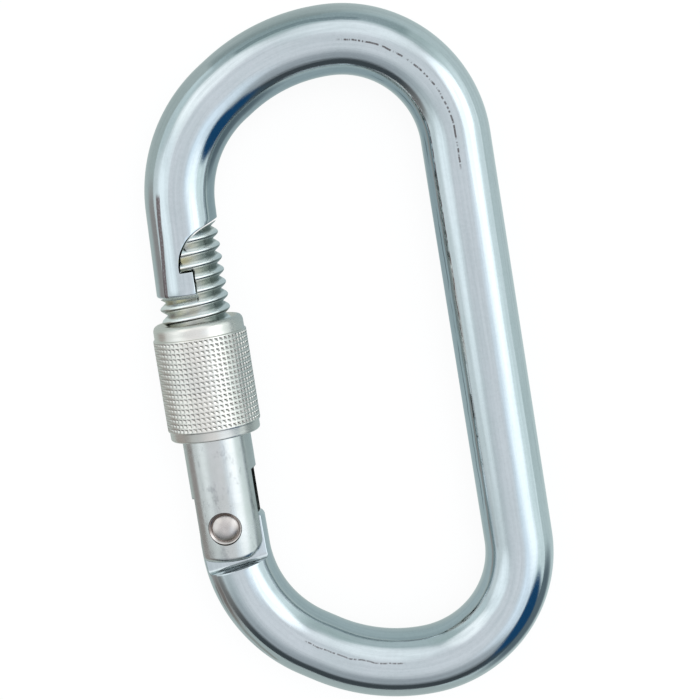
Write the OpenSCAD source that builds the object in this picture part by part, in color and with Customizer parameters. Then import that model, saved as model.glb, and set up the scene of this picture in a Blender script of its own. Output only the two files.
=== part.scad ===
// Oval steel carabiner with a screw-lock gate, lying flat.
// X points towards the spine, Y runs up the long axis towards the nose, Z is the thickness.
// The origin is the middle of the whole object. All sizes are in millimetres.

/* [Body] */
// Diameter of the round bar
bar_d = 11; // [10.8:0.1:11]
// Overall length of the oval
oval_l = 112; // [110:1:116]
// Bend radius at the spine end of each bow, to the bar's middle
corner_r = 18; // [17.5:0.1:18.5]
// Turn of that bend, in degrees
corner_turn = 88; // [86:1:88]
// Bend radius over the crown of each bow
crown_r = 28; // [27:0.5:29]
// Turn of the crown, in degrees
crown_turn = 35; // [34:1:36]
// Straight flank between the lower bow's crown and its shoulder bend
lower_flank_l = 2.5; // [2:0.1:3]
// The same flank on the upper bow
upper_flank_l = 1.6; // [1.6:0.1:1.7]
// Bend radius of the shoulder bend, which turns the bar into the gate line
shoulder_r = 21; // [20.5:0.1:21]
// Lean of the nose's limb towards the spine, in degrees
limb_lean = 2.8; // [2.7:0.1:2.9]

/* [Claw nose] */
// Height of the nose's end face above the middle
nose_y = 15; // [14.8:0.1:15.2]
// Height of the ledge that the gate's claw hooks over
ledge_y = 18.7; // [18.5:0.1:18.9]
// Radius of the round notch above the ledge
notch_r = 6.2; // [6:0.1:6.3]
// Slope of the notch's upper flank, in degrees
notch_slope = 24; // [22:1:26]
// Gap between the claw and the nose all round
claw_gap = 0.25; // [0.2:0.05:0.3]

/* [Gate] */
// Diameter of the gate's barrel
barrel_d = 11; // [10.8:0.1:11]
// Height of the rivet's axis above the middle
rivet_y = -22.5; // [-22.6:0.1:-22.4]
// Distance of the rivet's axis to the outer side of the gate's axis
rivet_set = 0.5; // [0.4:0.1:0.6]
// Distance of the gate's axis to the outer side of the bar's axis, at the rivet
gate_out = 0.2; // [0.1:0.1:0.2]
// Lean of the gate's axis towards the spine, in degrees
gate_lean = 0.8; // [0.7:0.1:0.9]
// Width of the slot between the gate's two ears
slot_w = 5; // [4.8:0.1:5]
// Thickness of the body's tang in that slot
tang_t = 4.7; // [4.4:0.1:4.7]
// Pitch of the screw thread
pitch = 2; // [2:1:2]
// Depth of the thread
thread_depth = 1; // [0.8:0.1:1.1]
// Height where the thread starts on the barrel
thread_y = 0; // [-0.5:0.5:0.5]
// How far the gate opens, in degrees
gate_opening = 24; // [20:1:24]

/* [Locking sleeve] */
// Diameter over the knurl
knurl_d = 14.9; // [14.7:0.1:15.1]
// Length of the sleeve
sleeve_l = 18.6; // [18:0.1:19]
// Height of the sleeve's upper end when it is screwed down
sleeve_top_y = 10.6; // [10.4:0.1:10.8]
// Radial gap between the sleeve's bore and the thread's crests
sleeve_gap = 0.25; // [0.2:0.05:0.3]

/* [Closing spring] */
// Diameter of the spring plunger
plunger_d = 4; // [3.8:0.1:4]
// Wire diameter of the spring
wire_d = 0.7; // [0.6:0.05:0.7]
// Number of turns of the spring
spring_turns = 7; // [6:1:8]
// Lift of the plunger for each radian that the gate opens
cam_rise = 2.2; // [2:0.1:2.2]

/* [Hidden] */
$fn = 96;

bar_r = bar_d / 2;
barrel_r = barrel_d / 2;
sleeve_r = knurl_d / 2;

// Sleeve details
band_r = sleeve_r - 0.25;
upper_band = 2.4;
lower_band = 1.5;
knurl_step = 0.2;
sleeve_bore_r = barrel_r + sleeve_gap;

// Seam between two lengths of bar, and how far its bridge stands proud
seam = 0.1;
bridge_proud = 0.04;

// Angles and centres of the upper bow, measured from the spine's upper end
flank_turn = corner_turn + crown_turn;
function radial(a) = [cos(a), sin(a)];
corner_c = [-corner_r, 0];
crown_c = corner_c - (crown_r - corner_r) * radial(corner_turn);
flank_start = crown_c + crown_r * radial(flank_turn);
function flank_end(flank_l) = flank_start + flank_l * radial(flank_turn + 90);
function shoulder_c(flank_l) = flank_end(flank_l) - shoulder_r * radial(flank_turn);

// Places of the spine and of the lower limb; the leaning sleeve's knurl is the outermost point
knurl_low_y = sleeve_top_y - sleeve_l + lower_band + knurl_step;
sleeve_reach = gate_out + rivet_set + (sleeve_r - rivet_set) * cos(gate_lean)
    - (knurl_low_y - rivet_y) * sin(gate_lean);
spine_to_limb = shoulder_r - shoulder_c(lower_flank_l).x;
spine_x = (spine_to_limb + sleeve_reach - bar_r) / 2;
limb_x = spine_x - spine_to_limb;
bow_y = oval_l / 2 - bar_r - crown_c.y - crown_r;
limb_y = bow_y + shoulder_c(lower_flank_l).y;

// The nose's limb, from the end of the upper shoulder bend
limb_turn = 180 - limb_lean;
limb_top = [spine_x, bow_y] + shoulder_c(upper_flank_l) + shoulder_r * radial(limb_turn);

// The gate's axis at the rivet, before it leans
gate_x = limb_x - gate_out;

// Claw nose, measured across from the gate's axis
notch_c = [5.2, 19.2];
tooth_x = 1.05;
nose_edge = 0.4;

// How far the notch's flank lies inside the tangent of its round part, so that the two cross cleanly
flank_dip = 0.04;

// Gap under the nose's end face: the gate's corner rises a little as it swings past
nose_gap = 0.45;

// Hinge end, measured from the rivet's axis
hinge = [gate_x - rivet_set, rivet_y];
ear_end = -5.6;
ear_edge = 1;
ear_corner_r = 3.6;
slot_outer = 4.7;
slot_inner = 8.6;
shoulder_h = -7;
shoulder_tilt = 8.5;
rivet_r = 2.1;
rivet_head_r = 2.6;
rivet_seat = 4;
rivet_seat_r = 2.7;
rivet_top = 5.3;
hinge_gap = 0.05;
crown_h = 4.4;
tang_round_r = 4.3;
cam_end = gate_opening + 2;

// Spring bore and plunger, measured from the rivet's axis
bore_end = 21;
bore_gap = 0.1;
plunger_shoulder = 9.5;
plunger_spigot_r = 0.9;
plunger_spigot_end = 12;
plunger_r = plunger_d / 2;
bore_r = plunger_r + bore_gap;
touch = 0.02;

steel = [0.80, 0.83, 0.86];
dull_steel = [0.72, 0.72, 0.70];
sleeve_steel = [0.78, 0.77, 0.74];
rivet_steel = [0.74, 0.70, 0.68];
spring_steel = [0.45, 0.46, 0.48];

// Turns what is drawn on the upright gate about the rivet, onto the gate's leaning line
module lean_gate() {
    translate([hinge.x, hinge.y, 0])
        rotate([0, 0, -gate_lean])
            translate([-hinge.x, -hinge.y, 0])
                children();
}

// Lays children drawn along their own Z onto the upright gate's axis, from height y upwards
module on_gate_axis(y) {
    translate([gate_x, y, 0])
        rotate([-90, 0, 0])
            children();
}

// One bend of the round bar in the plane of the oval, a hair short at both ends
module bend(centre, r, start, turn) {
    short = seam / 2 * 180 / (PI * r);
    translate([centre.x, centre.y, 0])
        rotate_extrude(start = start + short, angle = turn - 2 * short)
            translate([r, 0])
                circle(bar_r);
}

// One straight length of bar, a hair short at both ends
module straight(from, direction, l) {
    translate([from.x, from.y, 0])
        rotate([0, 0, direction - 90])
            rotate([-90, 0, 0])
                translate([0, 0, seam / 2])
                    cylinder(r = bar_r, h = l - seam);
}

// Bridge over the seam between two lengths of bar, so that no two surfaces meet along a tangent
module bridge(at, direction) {
    translate([at.x, at.y, 0])
        rotate([0, 0, direction - 90])
            rotate([-90, 0, 0])
                cylinder(r = bar_r + bridge_proud, h = seam * 3, center = true);
}

// The bar from the spine's end over the bow to the end of its shoulder bend
module bow(flank_l, end_turn) {
    middle = shoulder_c(flank_l);
    translate([spine_x, bow_y, 0]) {
        bridge([0, 0], 90);
        bend(corner_c, corner_r, 0, corner_turn);
        bridge(corner_c + corner_r * radial(corner_turn), corner_turn + 90);
        bend(crown_c, crown_r, corner_turn, crown_turn);
        bridge(flank_start, flank_turn + 90);
        straight(flank_start, flank_turn + 90, flank_l);
        bridge(flank_end(flank_l), flank_turn + 90);
        bend(middle, shoulder_r, flank_turn, end_turn - flank_turn);
        bridge(middle + shoulder_r * radial(end_turn), end_turn + 90);
    }
}

// Outline of the space that the claw fills, drawn across from the gate's axis: a round notch above the ledge,
// a straight upper flank and the space beside the tooth.
// A negative growth draws the claw itself, with its gap to the nose.
module claw_outline(growth) {
    knee = notch_c + (notch_r + growth - flank_dip) * radial(90 + notch_slope);
    far_point = knee + barrel_d * radial(notch_slope);
    intersection() {
        translate(notch_c)
            circle(notch_r + growth);
        translate([notch_c.x - barrel_d, ledge_y - growth])
            square([barrel_d * 2, barrel_d]);
    }
    polygon([knee, far_point, [far_point.x, notch_c.y], [knee.x, notch_c.y]]);
    translate([tooth_x - growth, nose_y - 1])
        square([barrel_d, notch_c.y - nose_y + 1]);
}

// Cuts an outline drawn across from the gate's axis right through the bar
module through_cut() {
    translate([gate_x, 0, 0])
        linear_extrude(height = bar_d * 2, center = true)
            children();
}

// The nose's limb, cut square to the gate's axis and with a small edge break
module nose_bar() {
    l = (limb_top.y - nose_y) / cos(limb_lean);
    foot = limb_top + l * radial(limb_turn + 90) - [(nose_y - rivet_y) * sin(gate_lean), 0];
    above = 20;
    intersection() {
        straight(limb_top, limb_turn + 90, l + 1);
        lean_gate()
            translate([foot.x, nose_y, 0])
                rotate([-90, 0, 0])
                    cylinder(r1 = bar_r - nose_edge, r2 = bar_r - nose_edge + above, h = above);
    }
}

// Points of the involute cam on the tang: a flat plunger rises evenly as the gate turns over it
function cam_point(a) =
    let (h = crown_h + cam_rise * a * PI / 180)
    [h * sin(a) + cam_rise * cos(a), h * cos(a) - cam_rise * sin(a)];

// Side view of the tang's upper end, drawn from the rivet's axis
module tang_crown() {
    inner_x = bar_r + rivet_set + gate_out;
    round_end = 70;
    polygon([
        [-tang_round_r - 0.9, ear_end - 1],
        for (a = [180:-10:180 - round_end]) tang_round_r * radial(a),
        [-1.2, crown_h],
        for (a = [0:2:cam_end]) cam_point(a),
        [inner_x - 1.15, 0.9],
        [inner_x - 0.25, 0.6],
        [inner_x, 0.1],
        [inner_x + 2, ear_end - 1]
    ]);
}

// What is milled and bored away to make the tang
module tang_cuts() {
    above = 20;
    translate([gate_x, rivet_y + shoulder_h, 0])
        rotate([0, 0, shoulder_tilt])
            for (side = [0, 1])
                mirror([0, 0, side])
                    translate([-bar_d, 0, tang_t / 2])
                        cube([bar_d * 2, above, bar_d]);
    translate([hinge.x, hinge.y, 0]) {
        linear_extrude(height = bar_d, center = true)
            difference() {
                translate([-bar_d, ear_end - 0.5])
                    square([bar_d * 2, above]);
                tang_crown();
            }
        cylinder(r = rivet_r + hinge_gap, h = bar_d * 2, center = true);
    }
}

// One bent bar: spine, two bows, claw nose and hinge tang
module body() {
    color(steel)
        difference() {
            union() {
                straight([spine_x, -bow_y], 90, bow_y * 2);
                bow(upper_flank_l, limb_turn);
                mirror([0, 1, 0])
                    bow(lower_flank_l, 180);
                nose_bar();
                straight([limb_x, -limb_y], 90, limb_y + rivet_y + crown_h + 2);
            }
            lean_gate()
                through_cut()
                    claw_outline(0);
            lean_gate()
                tang_cuts();
        }
}

// Threaded rod along its own Z: a root, two flanks and a rounded crest wound as one closed skin
module threaded_rod(l, crest_r) {
    steps = 36;
    root_r = crest_r - thread_depth;
    profile = [
        [root_r, 0],
        [crest_r - 0.13, pitch * 0.375],
        [crest_r, pitch * 0.5],
        [crest_r - 0.13, pitch * 0.625]
    ];
    rows = len(profile);
    last = ceil(l / pitch) * steps;
    skin = [
        for (i = [0:last])
            for (p = profile)
                [p[0] * cos(i * 360 / steps), p[0] * sin(i * 360 / steps), p[1] + pitch * i / steps]
    ];
    top_row = [
        for (i = [last - steps:last])
            [root_r * cos(i * 360 / steps), root_r * sin(i * 360 / steps), pitch * (1 + i / steps)]
    ];
    points = concat(skin, top_row, [[0, 0, -pitch], [0, 0, pitch * (last / steps + 2)]]);
    first_top = len(skin);
    foot = len(points) - 2;
    tip = len(points) - 1;
    function at(i, k) =
        k < rows ? i * rows + k
        : i + steps <= last ? (i + steps) * rows
        : first_top + i + steps - last;
    flanks = [
        for (i = [0:last - 1])
            for (k = [0:rows - 1])
                each [[at(i, k), at(i, k + 1), at(i + 1, k)], [at(i + 1, k), at(i, k + 1), at(i + 1, k + 1)]]
    ];
    lower_edge = [for (i = [0:steps - 1]) [foot, at(i, 0), at(i + 1, 0)]];
    lower_end = [for (k = [0:rows - 1]) [foot, at(0, k + 1), at(0, k)]];
    upper_edge = [for (i = [last - steps:last - 1]) [tip, at(i + 1, rows), at(i, rows)]];
    upper_end = [for (k = [0:rows - 1]) [tip, at(last, k), at(last, k + 1)]];
    polyhedron(points, concat(flanks, lower_edge, lower_end, upper_edge, upper_end));
}

// The gate's threaded head, milled to the claw's outline
module claw_head() {
    start = floor(thread_y / pitch) * pitch - pitch * 1.5;
    intersection() {
        on_gate_axis(start)
            threaded_rod(limb_y - start + pitch, barrel_r);
        through_cut() {
            claw_outline(-claw_gap);
            translate([-barrel_d, thread_y])
                square([barrel_d * 2, nose_y - nose_gap - thread_y]);
        }
    }
}

// The gate's turned barrel, with rounded lower edges
module barrel() {
    low = rivet_y + ear_end;
    on_gate_axis(low)
        rotate_extrude() {
            square([barrel_r - ear_edge, thread_y - low]);
            translate([0, ear_edge])
                square([barrel_r, thread_y - low - ear_edge]);
            intersection() {
                translate([barrel_r - ear_edge, ear_edge])
                    circle(ear_edge);
                square([barrel_r, ear_edge]);
            }
        }
}

// What is cut from the barrel: slot, rivet seats, spring bore and the inner ear corner
module barrel_cuts() {
    half = barrel_r + 1;
    rise = (slot_inner - slot_outer) / barrel_d;
    translate([hinge.x, hinge.y, 0]) {
        translate([rivet_set, 0, 0])
            linear_extrude(height = slot_w, center = true)
                polygon([
                    [-half, ear_end - 1],
                    [half, ear_end - 1],
                    [half, slot_inner + rise],
                    [-half, slot_outer - rise]
                ]);
        cylinder(r = rivet_r, h = barrel_d * 2, center = true);
        for (side = [0, 1])
            mirror([0, 0, side])
                translate([0, 0, rivet_seat])
                    cylinder(r = rivet_seat_r, h = barrel_r);
        translate([rivet_set + barrel_r - ear_corner_r, ear_end + ear_corner_r, 0])
            linear_extrude(height = barrel_d * 2, center = true)
                difference() {
                    translate([0, -ear_corner_r * 2])
                        square(ear_corner_r * 2);
                    circle(ear_corner_r);
                }
    }
    on_gate_axis(rivet_y)
        cylinder(r = bore_r, h = bore_end);
}

// Turned gate: ears and slot below, plain barrel, threaded claw head above
module gate() {
    color(dull_steel)
        lean_gate() {
            claw_head();
            difference() {
                barrel();
                barrel_cuts();
            }
        }
}

// Screw sleeve with a knurled band between two smooth ones
module locking_sleeve() {
    l = sleeve_l;
    knurl_low = lower_band;
    knurl_high = l - upper_band;
    slope = band_r - sleeve_bore_r - 0.7;
    color(sleeve_steel)
        lean_gate()
            on_gate_axis(sleeve_top_y - sleeve_l)
                rotate_extrude()
                    polygon([
                        [sleeve_bore_r + 0.5, 0],
                        [band_r - 0.35, 0],
                        [band_r - 0.1, 0.1],
                        [band_r, 0.35],
                        [band_r, knurl_low],
                        [sleeve_r, knurl_low + knurl_step],
                        [sleeve_r, knurl_high - knurl_step],
                        [band_r, knurl_high],
                        for (a = [0:15:90]) [band_r - slope, l - 1] + [slope * cos(a), sin(a)],
                        [sleeve_bore_r + 0.7, l],
                        [sleeve_bore_r, l - 0.7],
                        [sleeve_bore_r, 0.5]
                    ]);
}

// Rivet through the ears and the tang, with a peened head in each seat
module hinge_rivet() {
    head = [
        [rivet_r, rivet_seat],
        [rivet_head_r, rivet_seat],
        [rivet_head_r, rivet_top - 0.65],
        [rivet_head_r - 0.25, rivet_top - 0.45],
        [rivet_head_r - 0.6, rivet_top - 0.35],
        [1.4, rivet_top - 0.05],
        [0.8, rivet_top],
        [0, rivet_top]
    ];
    far_head = [for (i = [len(head) - 1:-1:0]) [head[i].x, -head[i].y]];
    color(rivet_steel)
        translate([hinge.x, hinge.y, 0])
            rotate_extrude()
                polygon(concat(head, far_head));
}

// Plunger that the spring presses onto the tang's cam
module spring_plunger() {
    color(rivet_steel)
        lean_gate()
            on_gate_axis(rivet_y)
                rotate_extrude()
                    polygon([
                        [0, crown_h + touch],
                        [plunger_r, crown_h + touch],
                        [plunger_r, plunger_shoulder],
                        [plunger_spigot_r, plunger_shoulder],
                        [plunger_spigot_r, plunger_spigot_end - 0.3],
                        [plunger_spigot_r - 0.3, plunger_spigot_end],
                        [0, plunger_spigot_end]
                    ]);
}

// Coil spring between the plunger's shoulder and the end of the bore
module closing_spring() {
    steps = 16;
    sides = 6;
    wire_r = wire_d / 2;
    coil_r = bore_r - wire_r - 0.15;
    low = plunger_shoulder + wire_r + touch;
    high = bore_end - wire_r - touch;
    last = spring_turns * steps;
    rings = [
        for (i = [0:last])
            let (a = i * 360 / steps, h = low + (high - low) * i / last)
            for (k = [0:sides - 1])
                let (r = coil_r + wire_r * cos(k * 360 / sides))
                [r * cos(a), r * sin(a), h + wire_r * sin(k * 360 / sides)]
    ];
    walls = [
        for (i = [0:last - 1])
            for (k = [0:sides - 1])
                let (b = i * sides, n = (k + 1) % sides)
                each [[b + k, b + sides + k, b + n], [b + n, b + sides + k, b + sides + n]]
    ];
    ends = [[for (k = [0:sides - 1]) k], [for (k = [sides - 1:-1:0]) last * sides + k]];
    color(spring_steel)
        lean_gate()
            on_gate_axis(rivet_y)
                polyhedron(rings, concat(walls, ends));
}

body();
gate();
locking_sleeve();
hinge_rivet();
spring_plunger();
closing_spring();
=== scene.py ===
"""Looks of the oval carabiner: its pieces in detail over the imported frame, their finishes and the studio."""
import logging
import math
from collections.abc import Callable, Iterable, Iterator, Sequence
from contextlib import contextmanager
from dataclasses import dataclass, replace
from enum import Enum

import bmesh
import bpy
from mathutils import Matrix, Vector


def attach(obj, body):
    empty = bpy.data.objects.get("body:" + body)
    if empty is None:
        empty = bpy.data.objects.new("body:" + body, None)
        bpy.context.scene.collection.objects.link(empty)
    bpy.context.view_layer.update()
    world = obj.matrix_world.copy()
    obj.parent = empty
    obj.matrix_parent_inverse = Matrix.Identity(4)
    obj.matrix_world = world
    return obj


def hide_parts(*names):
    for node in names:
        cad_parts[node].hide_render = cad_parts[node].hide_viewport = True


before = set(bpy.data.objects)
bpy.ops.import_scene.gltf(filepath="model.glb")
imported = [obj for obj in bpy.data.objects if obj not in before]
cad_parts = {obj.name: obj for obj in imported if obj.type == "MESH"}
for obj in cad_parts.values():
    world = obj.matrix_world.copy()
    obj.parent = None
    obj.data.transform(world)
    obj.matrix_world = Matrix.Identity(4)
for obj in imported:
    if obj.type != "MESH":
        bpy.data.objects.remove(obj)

log = logging.getLogger("carabiner")

MM = 0.001
PAST_BAR = 11.0          # half a cutter's height that reaches past the bar, in millimetres
PAST_TANG = 8.0          # the same past the tang and the gate
MERGE = 2e-3             # corners closer than this are one after a cut, in millimetres
Object, Material = bpy.types.Object, bpy.types.Material
Node, Socket = bpy.types.Node, bpy.types.NodeSocket
Value = Socket | float
Flat = tuple[float, float]
Triple = tuple[float, float, float]
Shade = Socket | Triple
Place = Callable[[float, float, float], Vector]


class Cut(Enum):
    """How one closed mesh changes another."""

    AWAY = "DIFFERENCE"
    KEEP_COMMON = "INTERSECT"


def polar(radius: float, degrees: float) -> Flat:
    """Point at a radius and an angle about the origin of a plane."""
    angle = math.radians(degrees)
    return radius * math.cos(angle), radius * math.sin(angle)


def arc(centre: Flat, radius: float, start: float, end: float, steps: int) -> list[Flat]:
    """Points along an arc, both ends included.

    Args:
        centre: Middle of the circle.
        radius: Radius of the circle.
        start: First angle in degrees.
        end: Last angle in degrees.
        steps: Number of chords.

    Returns:
        The points in order.
    """
    angles = [start + (end - start) * i / steps for i in range(steps + 1)]
    return [(centre[0] + polar(radius, a)[0], centre[1] + polar(radius, a)[1]) for a in angles]


def smooth_step(value: float, low: float, high: float) -> float:
    """Soft ramp from 0 at low to 1 at high."""
    t = min(1.0, max(0.0, (value - low) / (high - low)))
    return t * t * (3 - 2 * t)


def link(name: str, data: bpy.types.ID) -> Object:
    """New object that holds the data, linked to the scene.

    Args:
        name: Name of the object.
        data: Mesh, camera or lamp that it holds.

    Returns:
        The object.
    """
    obj = bpy.data.objects.new(name, data)
    bpy.context.scene.collection.objects.link(obj)
    return obj


def strips(rows: Sequence[list]) -> list[tuple]:
    """Four-cornered faces between closed rows of corners, each row with the next one.

    Args:
        rows: Rows of corners or their numbers, all of one length.

    Returns:
        The faces, row by row.
    """
    return [
        (row[j], row[(j + 1) % len(row)], following[(j + 1) % len(row)], following[j])
        for row, following in zip(rows, rows[1:])
        for j in range(len(row))
    ]


def fan(ring: list[int], middle: int) -> list[tuple]:
    """Three-cornered faces from a closed row of corners to one in its middle."""
    return [(ring[j], ring[(j + 1) % len(ring)], middle) for j in range(len(ring))]


@contextmanager
def opened(obj: Object) -> Iterator[bmesh.types.BMesh]:
    """Opens an object's mesh for editing, and writes it back.

    Args:
        obj: Object whose mesh is edited.

    Returns:
        The open mesh, inside a with block.
    """
    work = bmesh.new()
    work.from_mesh(obj.data)
    yield work
    work.to_mesh(obj.data)
    work.free()


class MeshShop:
    """Makes closed meshes in millimetres and cuts them; a finished piece is brought to metres."""

    @staticmethod
    def from_faces(name: str, points: Iterable[Vector], faces: Iterable[Iterable[int]]) -> Object:
        """Object from points and faces, with its normals made to point outwards.

        Args:
            name: Name of the object and its mesh.
            points: Corners in millimetres.
            faces: Corner numbers of each face.

        Returns:
            The new object, linked to the scene.
        """
        mesh = bpy.data.meshes.new(name)
        mesh.from_pydata([tuple(p) for p in points], [], [list(f) for f in faces])
        mesh.validate()
        obj = link(name, mesh)
        MeshShop.tidy(obj, 1e-4)
        return obj

    @staticmethod
    def tidy(obj: Object, reach: float) -> None:
        """Merges doubled corners closer than reach and turns all faces outwards.

        Args:
            obj: Mesh in millimetres.
            reach: Largest distance between corners that become one.
        """
        with opened(obj) as work:
            bmesh.ops.remove_doubles(work, verts=work.verts, dist=reach)
            bmesh.ops.dissolve_degenerate(work, edges=work.edges, dist=reach)
            bmesh.ops.recalc_face_normals(work, faces=work.faces)

    @staticmethod
    def tube(name: str, rings: list[list[Vector]]) -> Object:
        """Closed skin over rings of equal length; both ends get a flat or coned cap.

        Args:
            name: Name of the object.
            rings: Rings of corners, each of the same length.

        Returns:
            The new object.
        """
        count = len(rings[0])
        points = [p for ring in rings for p in ring]
        rows = [list(range(i * count, (i + 1) * count)) for i in range(len(rings))]
        faces = strips(rows)
        for row in (rows[0], rows[-1]):
            points.append(sum((points[n] for n in row), Vector()) / count)
            faces += fan(row, len(points) - 1)
        return MeshShop.from_faces(name, points, faces)

    @staticmethod
    def prism(name: str, outline: list[Flat], low: float, high: float) -> Object:
        """Closed block with an outline in X and Y, from height low to height high.

        Args:
            name: Name of the object.
            outline: Corners in order.
            low: Lower height.
            high: Upper height.

        Returns:
            The new object.
        """
        count = len(outline)
        points = [Vector((x, y, z)) for z in (low, high) for x, y in outline]
        ends = [list(range(count)), list(range(count, 2 * count))]
        return MeshShop.from_faces(name, points, ends + strips(ends))

    @staticmethod
    def turned(name: str, outline: list[Flat], steps: int, place: Place) -> Object:
        """Closed turned solid.

        Args:
            name: Name of the object.
            outline: Closed outline of radius and height; corners at radius 0 lie on the axis.
            steps: Number of flats round the axis.
            place: Turns radius, height and angle in radians into a point.

        Returns:
            The new object.
        """
        points, rows = [], []
        for radius, height in outline:
            if radius < 1e-6:
                points.append(place(0.0, height, 0.0))
                rows.append([len(points) - 1] * steps)
            else:
                rows.append(list(range(len(points), len(points) + steps)))
                points += [place(radius, height, 2 * math.pi * j / steps) for j in range(steps)]
        faces = [list(dict.fromkeys(face)) for face in strips(rows + rows[:1])]
        return MeshShop.from_faces(name, points, [face for face in faces if len(face) > 2])

    @staticmethod
    def cut(obj: Object, tool: Object, how: Cut) -> None:
        """Cuts obj with a closed tool mesh, and throws the tool away.

        Args:
            obj: Mesh in millimetres.
            tool: Closed mesh that cuts it.
            how: What stays.
        """
        modifier = obj.modifiers.new("cut", "BOOLEAN")
        modifier.operation = how.value
        modifier.solver = "EXACT"
        modifier.object = tool
        MeshShop.apply(obj)
        bpy.data.objects.remove(tool)

    @staticmethod
    def apply(obj: Object) -> None:
        """Turns an object's modifiers into its plain mesh.

        Args:
            obj: Object with modifiers.
        """
        bpy.context.view_layer.update()
        graph = bpy.context.evaluated_depsgraph_get()
        mesh = bpy.data.meshes.new_from_object(obj.evaluated_get(graph))
        obj.modifiers.clear()
        obj.data = mesh

    @staticmethod
    def round_edges(
        obj: Object, width: float, chosen: Callable[[Vector], bool], degrees: float
    ) -> None:
        """Rounds the sharp edges whose middle is chosen.

        Args:
            obj: Mesh in millimetres.
            width: Width of the rounding.
            chosen: Tells whether an edge with this middle is rounded.
            degrees: Smallest turn across an edge that counts as sharp.
        """
        with opened(obj) as work:
            edges = [
                e for e in work.edges
                if len(e.link_faces) == 2
                and e.calc_face_angle(0.0) > math.radians(degrees)
                and chosen((e.verts[0].co + e.verts[1].co) / 2)
            ]
            bmesh.ops.bevel(
                work, geom=edges, offset=width, segments=2, profile=0.5, affect="EDGES", clamp_overlap=False
            )
            bmesh.ops.remove_doubles(work, verts=work.verts, dist=MERGE / 2)

    @staticmethod
    def finish(
        obj: Object, body: str, nodes: tuple[str, ...], slot: str, degrees: float = 32
    ) -> None:
        """Shades a piece smooth between sharp edges, brings it to metres and hands it to the frame.

        Args:
            obj: Finished mesh in millimetres.
            body: Body that it rides on.
            nodes: Frame nodes that it stands for.
            slot: Material slot of the record; not used.
            degrees: Turn across an edge above which it stays sharp.
        """
        with opened(obj) as work:
            for face in work.faces:
                face.smooth = True
            for edge in work.edges:
                edge.smooth = len(edge.link_faces) != 2 or edge.calc_face_angle(0.0) < math.radians(degrees)
        obj.data.transform(Matrix.Scale(MM, 4))
        obj.data.update()
        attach(obj, body)
        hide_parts(*nodes)
        log.info("%s: %d faces", obj.name, len(obj.data.polygons))


class NodeBench:
    """Short way to write a node tree."""

    def __init__(self, tree: bpy.types.NodeTree) -> None:
        """Keeps the tree that nodes are added to."""
        self.tree = tree

    @classmethod
    def over(cls, owner: Material | bpy.types.World) -> "NodeBench":
        """Bench for a material's or a world's own tree, emptied first.

        Args:
            owner: Material or world.

        Returns:
            The bench.
        """
        owner.use_nodes = True
        owner.node_tree.nodes.clear()
        return cls(owner.node_tree)

    def node(self, kind: str, inputs: dict | None = None, **settings: object) -> Node:
        """Adds one node.

        Args:
            kind: Blender's name of the node type.
            inputs: Socket name or number to a value or to another node's output.
            **settings: The node's own properties.

        Returns:
            The new node.
        """
        made = self.tree.nodes.new(kind)
        for name, value in settings.items():
            setattr(made, name, value)
        for key, value in (inputs or {}).items():
            socket = made.inputs[key]
            if isinstance(value, Socket):
                self.tree.links.new(value, socket)
            else:
                socket.default_value = value
        return made

    def maths(
        self, operation: str, first: Value, second: Value = 0.0, third: Value = 0.0, clamp: bool = False
    ) -> Socket:
        """Output of a math node."""
        inputs = {0: first, 1: second, 2: third}
        return self.node("ShaderNodeMath", inputs, operation=operation, use_clamp=clamp).outputs[0]

    def times(self, product: Value, *others: Value) -> Socket:
        """Product of two or more values.

        Args:
            product: First value.
            *others: The values that it is multiplied by.

        Returns:
            The last node's output.
        """
        for other in others:
            product = self.maths("MULTIPLY", product, other)
        return product

    def apart(self, first: Value, second: Value) -> Socket:
        """Distance between two values."""
        return self.maths("ABSOLUTE", self.maths("SUBTRACT", first, second))

    def vectors(self, operation: str, first: Shade, second: Shade = (0.0, 0.0, 0.0)) -> Socket:
        """Output of a vector math node, which is a number for a length or a dot product."""
        made = self.node("ShaderNodeVectorMath", {0: first, 1: second}, operation=operation)
        return made.outputs["Value" if operation in ("LENGTH", "DOT_PRODUCT") else "Vector"]

    def split(self, vector: Socket) -> list[Socket]:
        """The three parts of a vector."""
        return list(self.node("ShaderNodeSeparateXYZ", {0: vector}).outputs)

    def ramp(self, value: Value, low: float, high: float, start: float = 0.0, end: float = 1.0) -> Socket:
        """Soft ramp of a value, from start at low to end at high."""
        inputs = {"Value": value, "From Min": low, "From Max": high, "To Min": start, "To Max": end}
        return self.node("ShaderNodeMapRange", inputs, interpolation_type="SMOOTHSTEP").outputs["Result"]

    def mix(self, share: Value, first: Shade, second: Shade) -> Socket:
        """Colour between two colours.

        Args:
            share: Share of the second colour.
            first: First colour.
            second: Second colour.

        Returns:
            The mixed colour.
        """
        made = self.node("ShaderNodeMix", data_type="RGBA")
        for number, value in ((0, share), (6, first), (7, second)):
            socket = made.inputs[number]
            if isinstance(value, Socket):
                self.tree.links.new(value, socket)
            elif isinstance(value, tuple):
                socket.default_value = (*value, 1.0)
            else:
                socket.default_value = value
        return made.outputs[2]

    def noise(self, vector: Socket, scale: float, detail: float = 2.0, roughness: float = 0.5) -> Socket:
        """Value of a noise texture."""
        inputs = {"Vector": vector, "Scale": scale, "Detail": detail, "Roughness": roughness}
        return self.node("ShaderNodeTexNoise", inputs).outputs[0]

    def crevices(self, reach: float) -> Socket:
        """1 on open faces, down to 0 deep in gaps narrower than the reach, in metres."""
        return self.node("ShaderNodeAmbientOcclusion", {"Distance": reach}, samples=6).outputs["AO"]

    def stretched(self, vector: Socket, scale: Triple) -> Socket:
        """A vector stretched along its axes."""
        return self.node("ShaderNodeMapping", {"Vector": vector, "Scale": tuple(scale)}).outputs[0]


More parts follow.
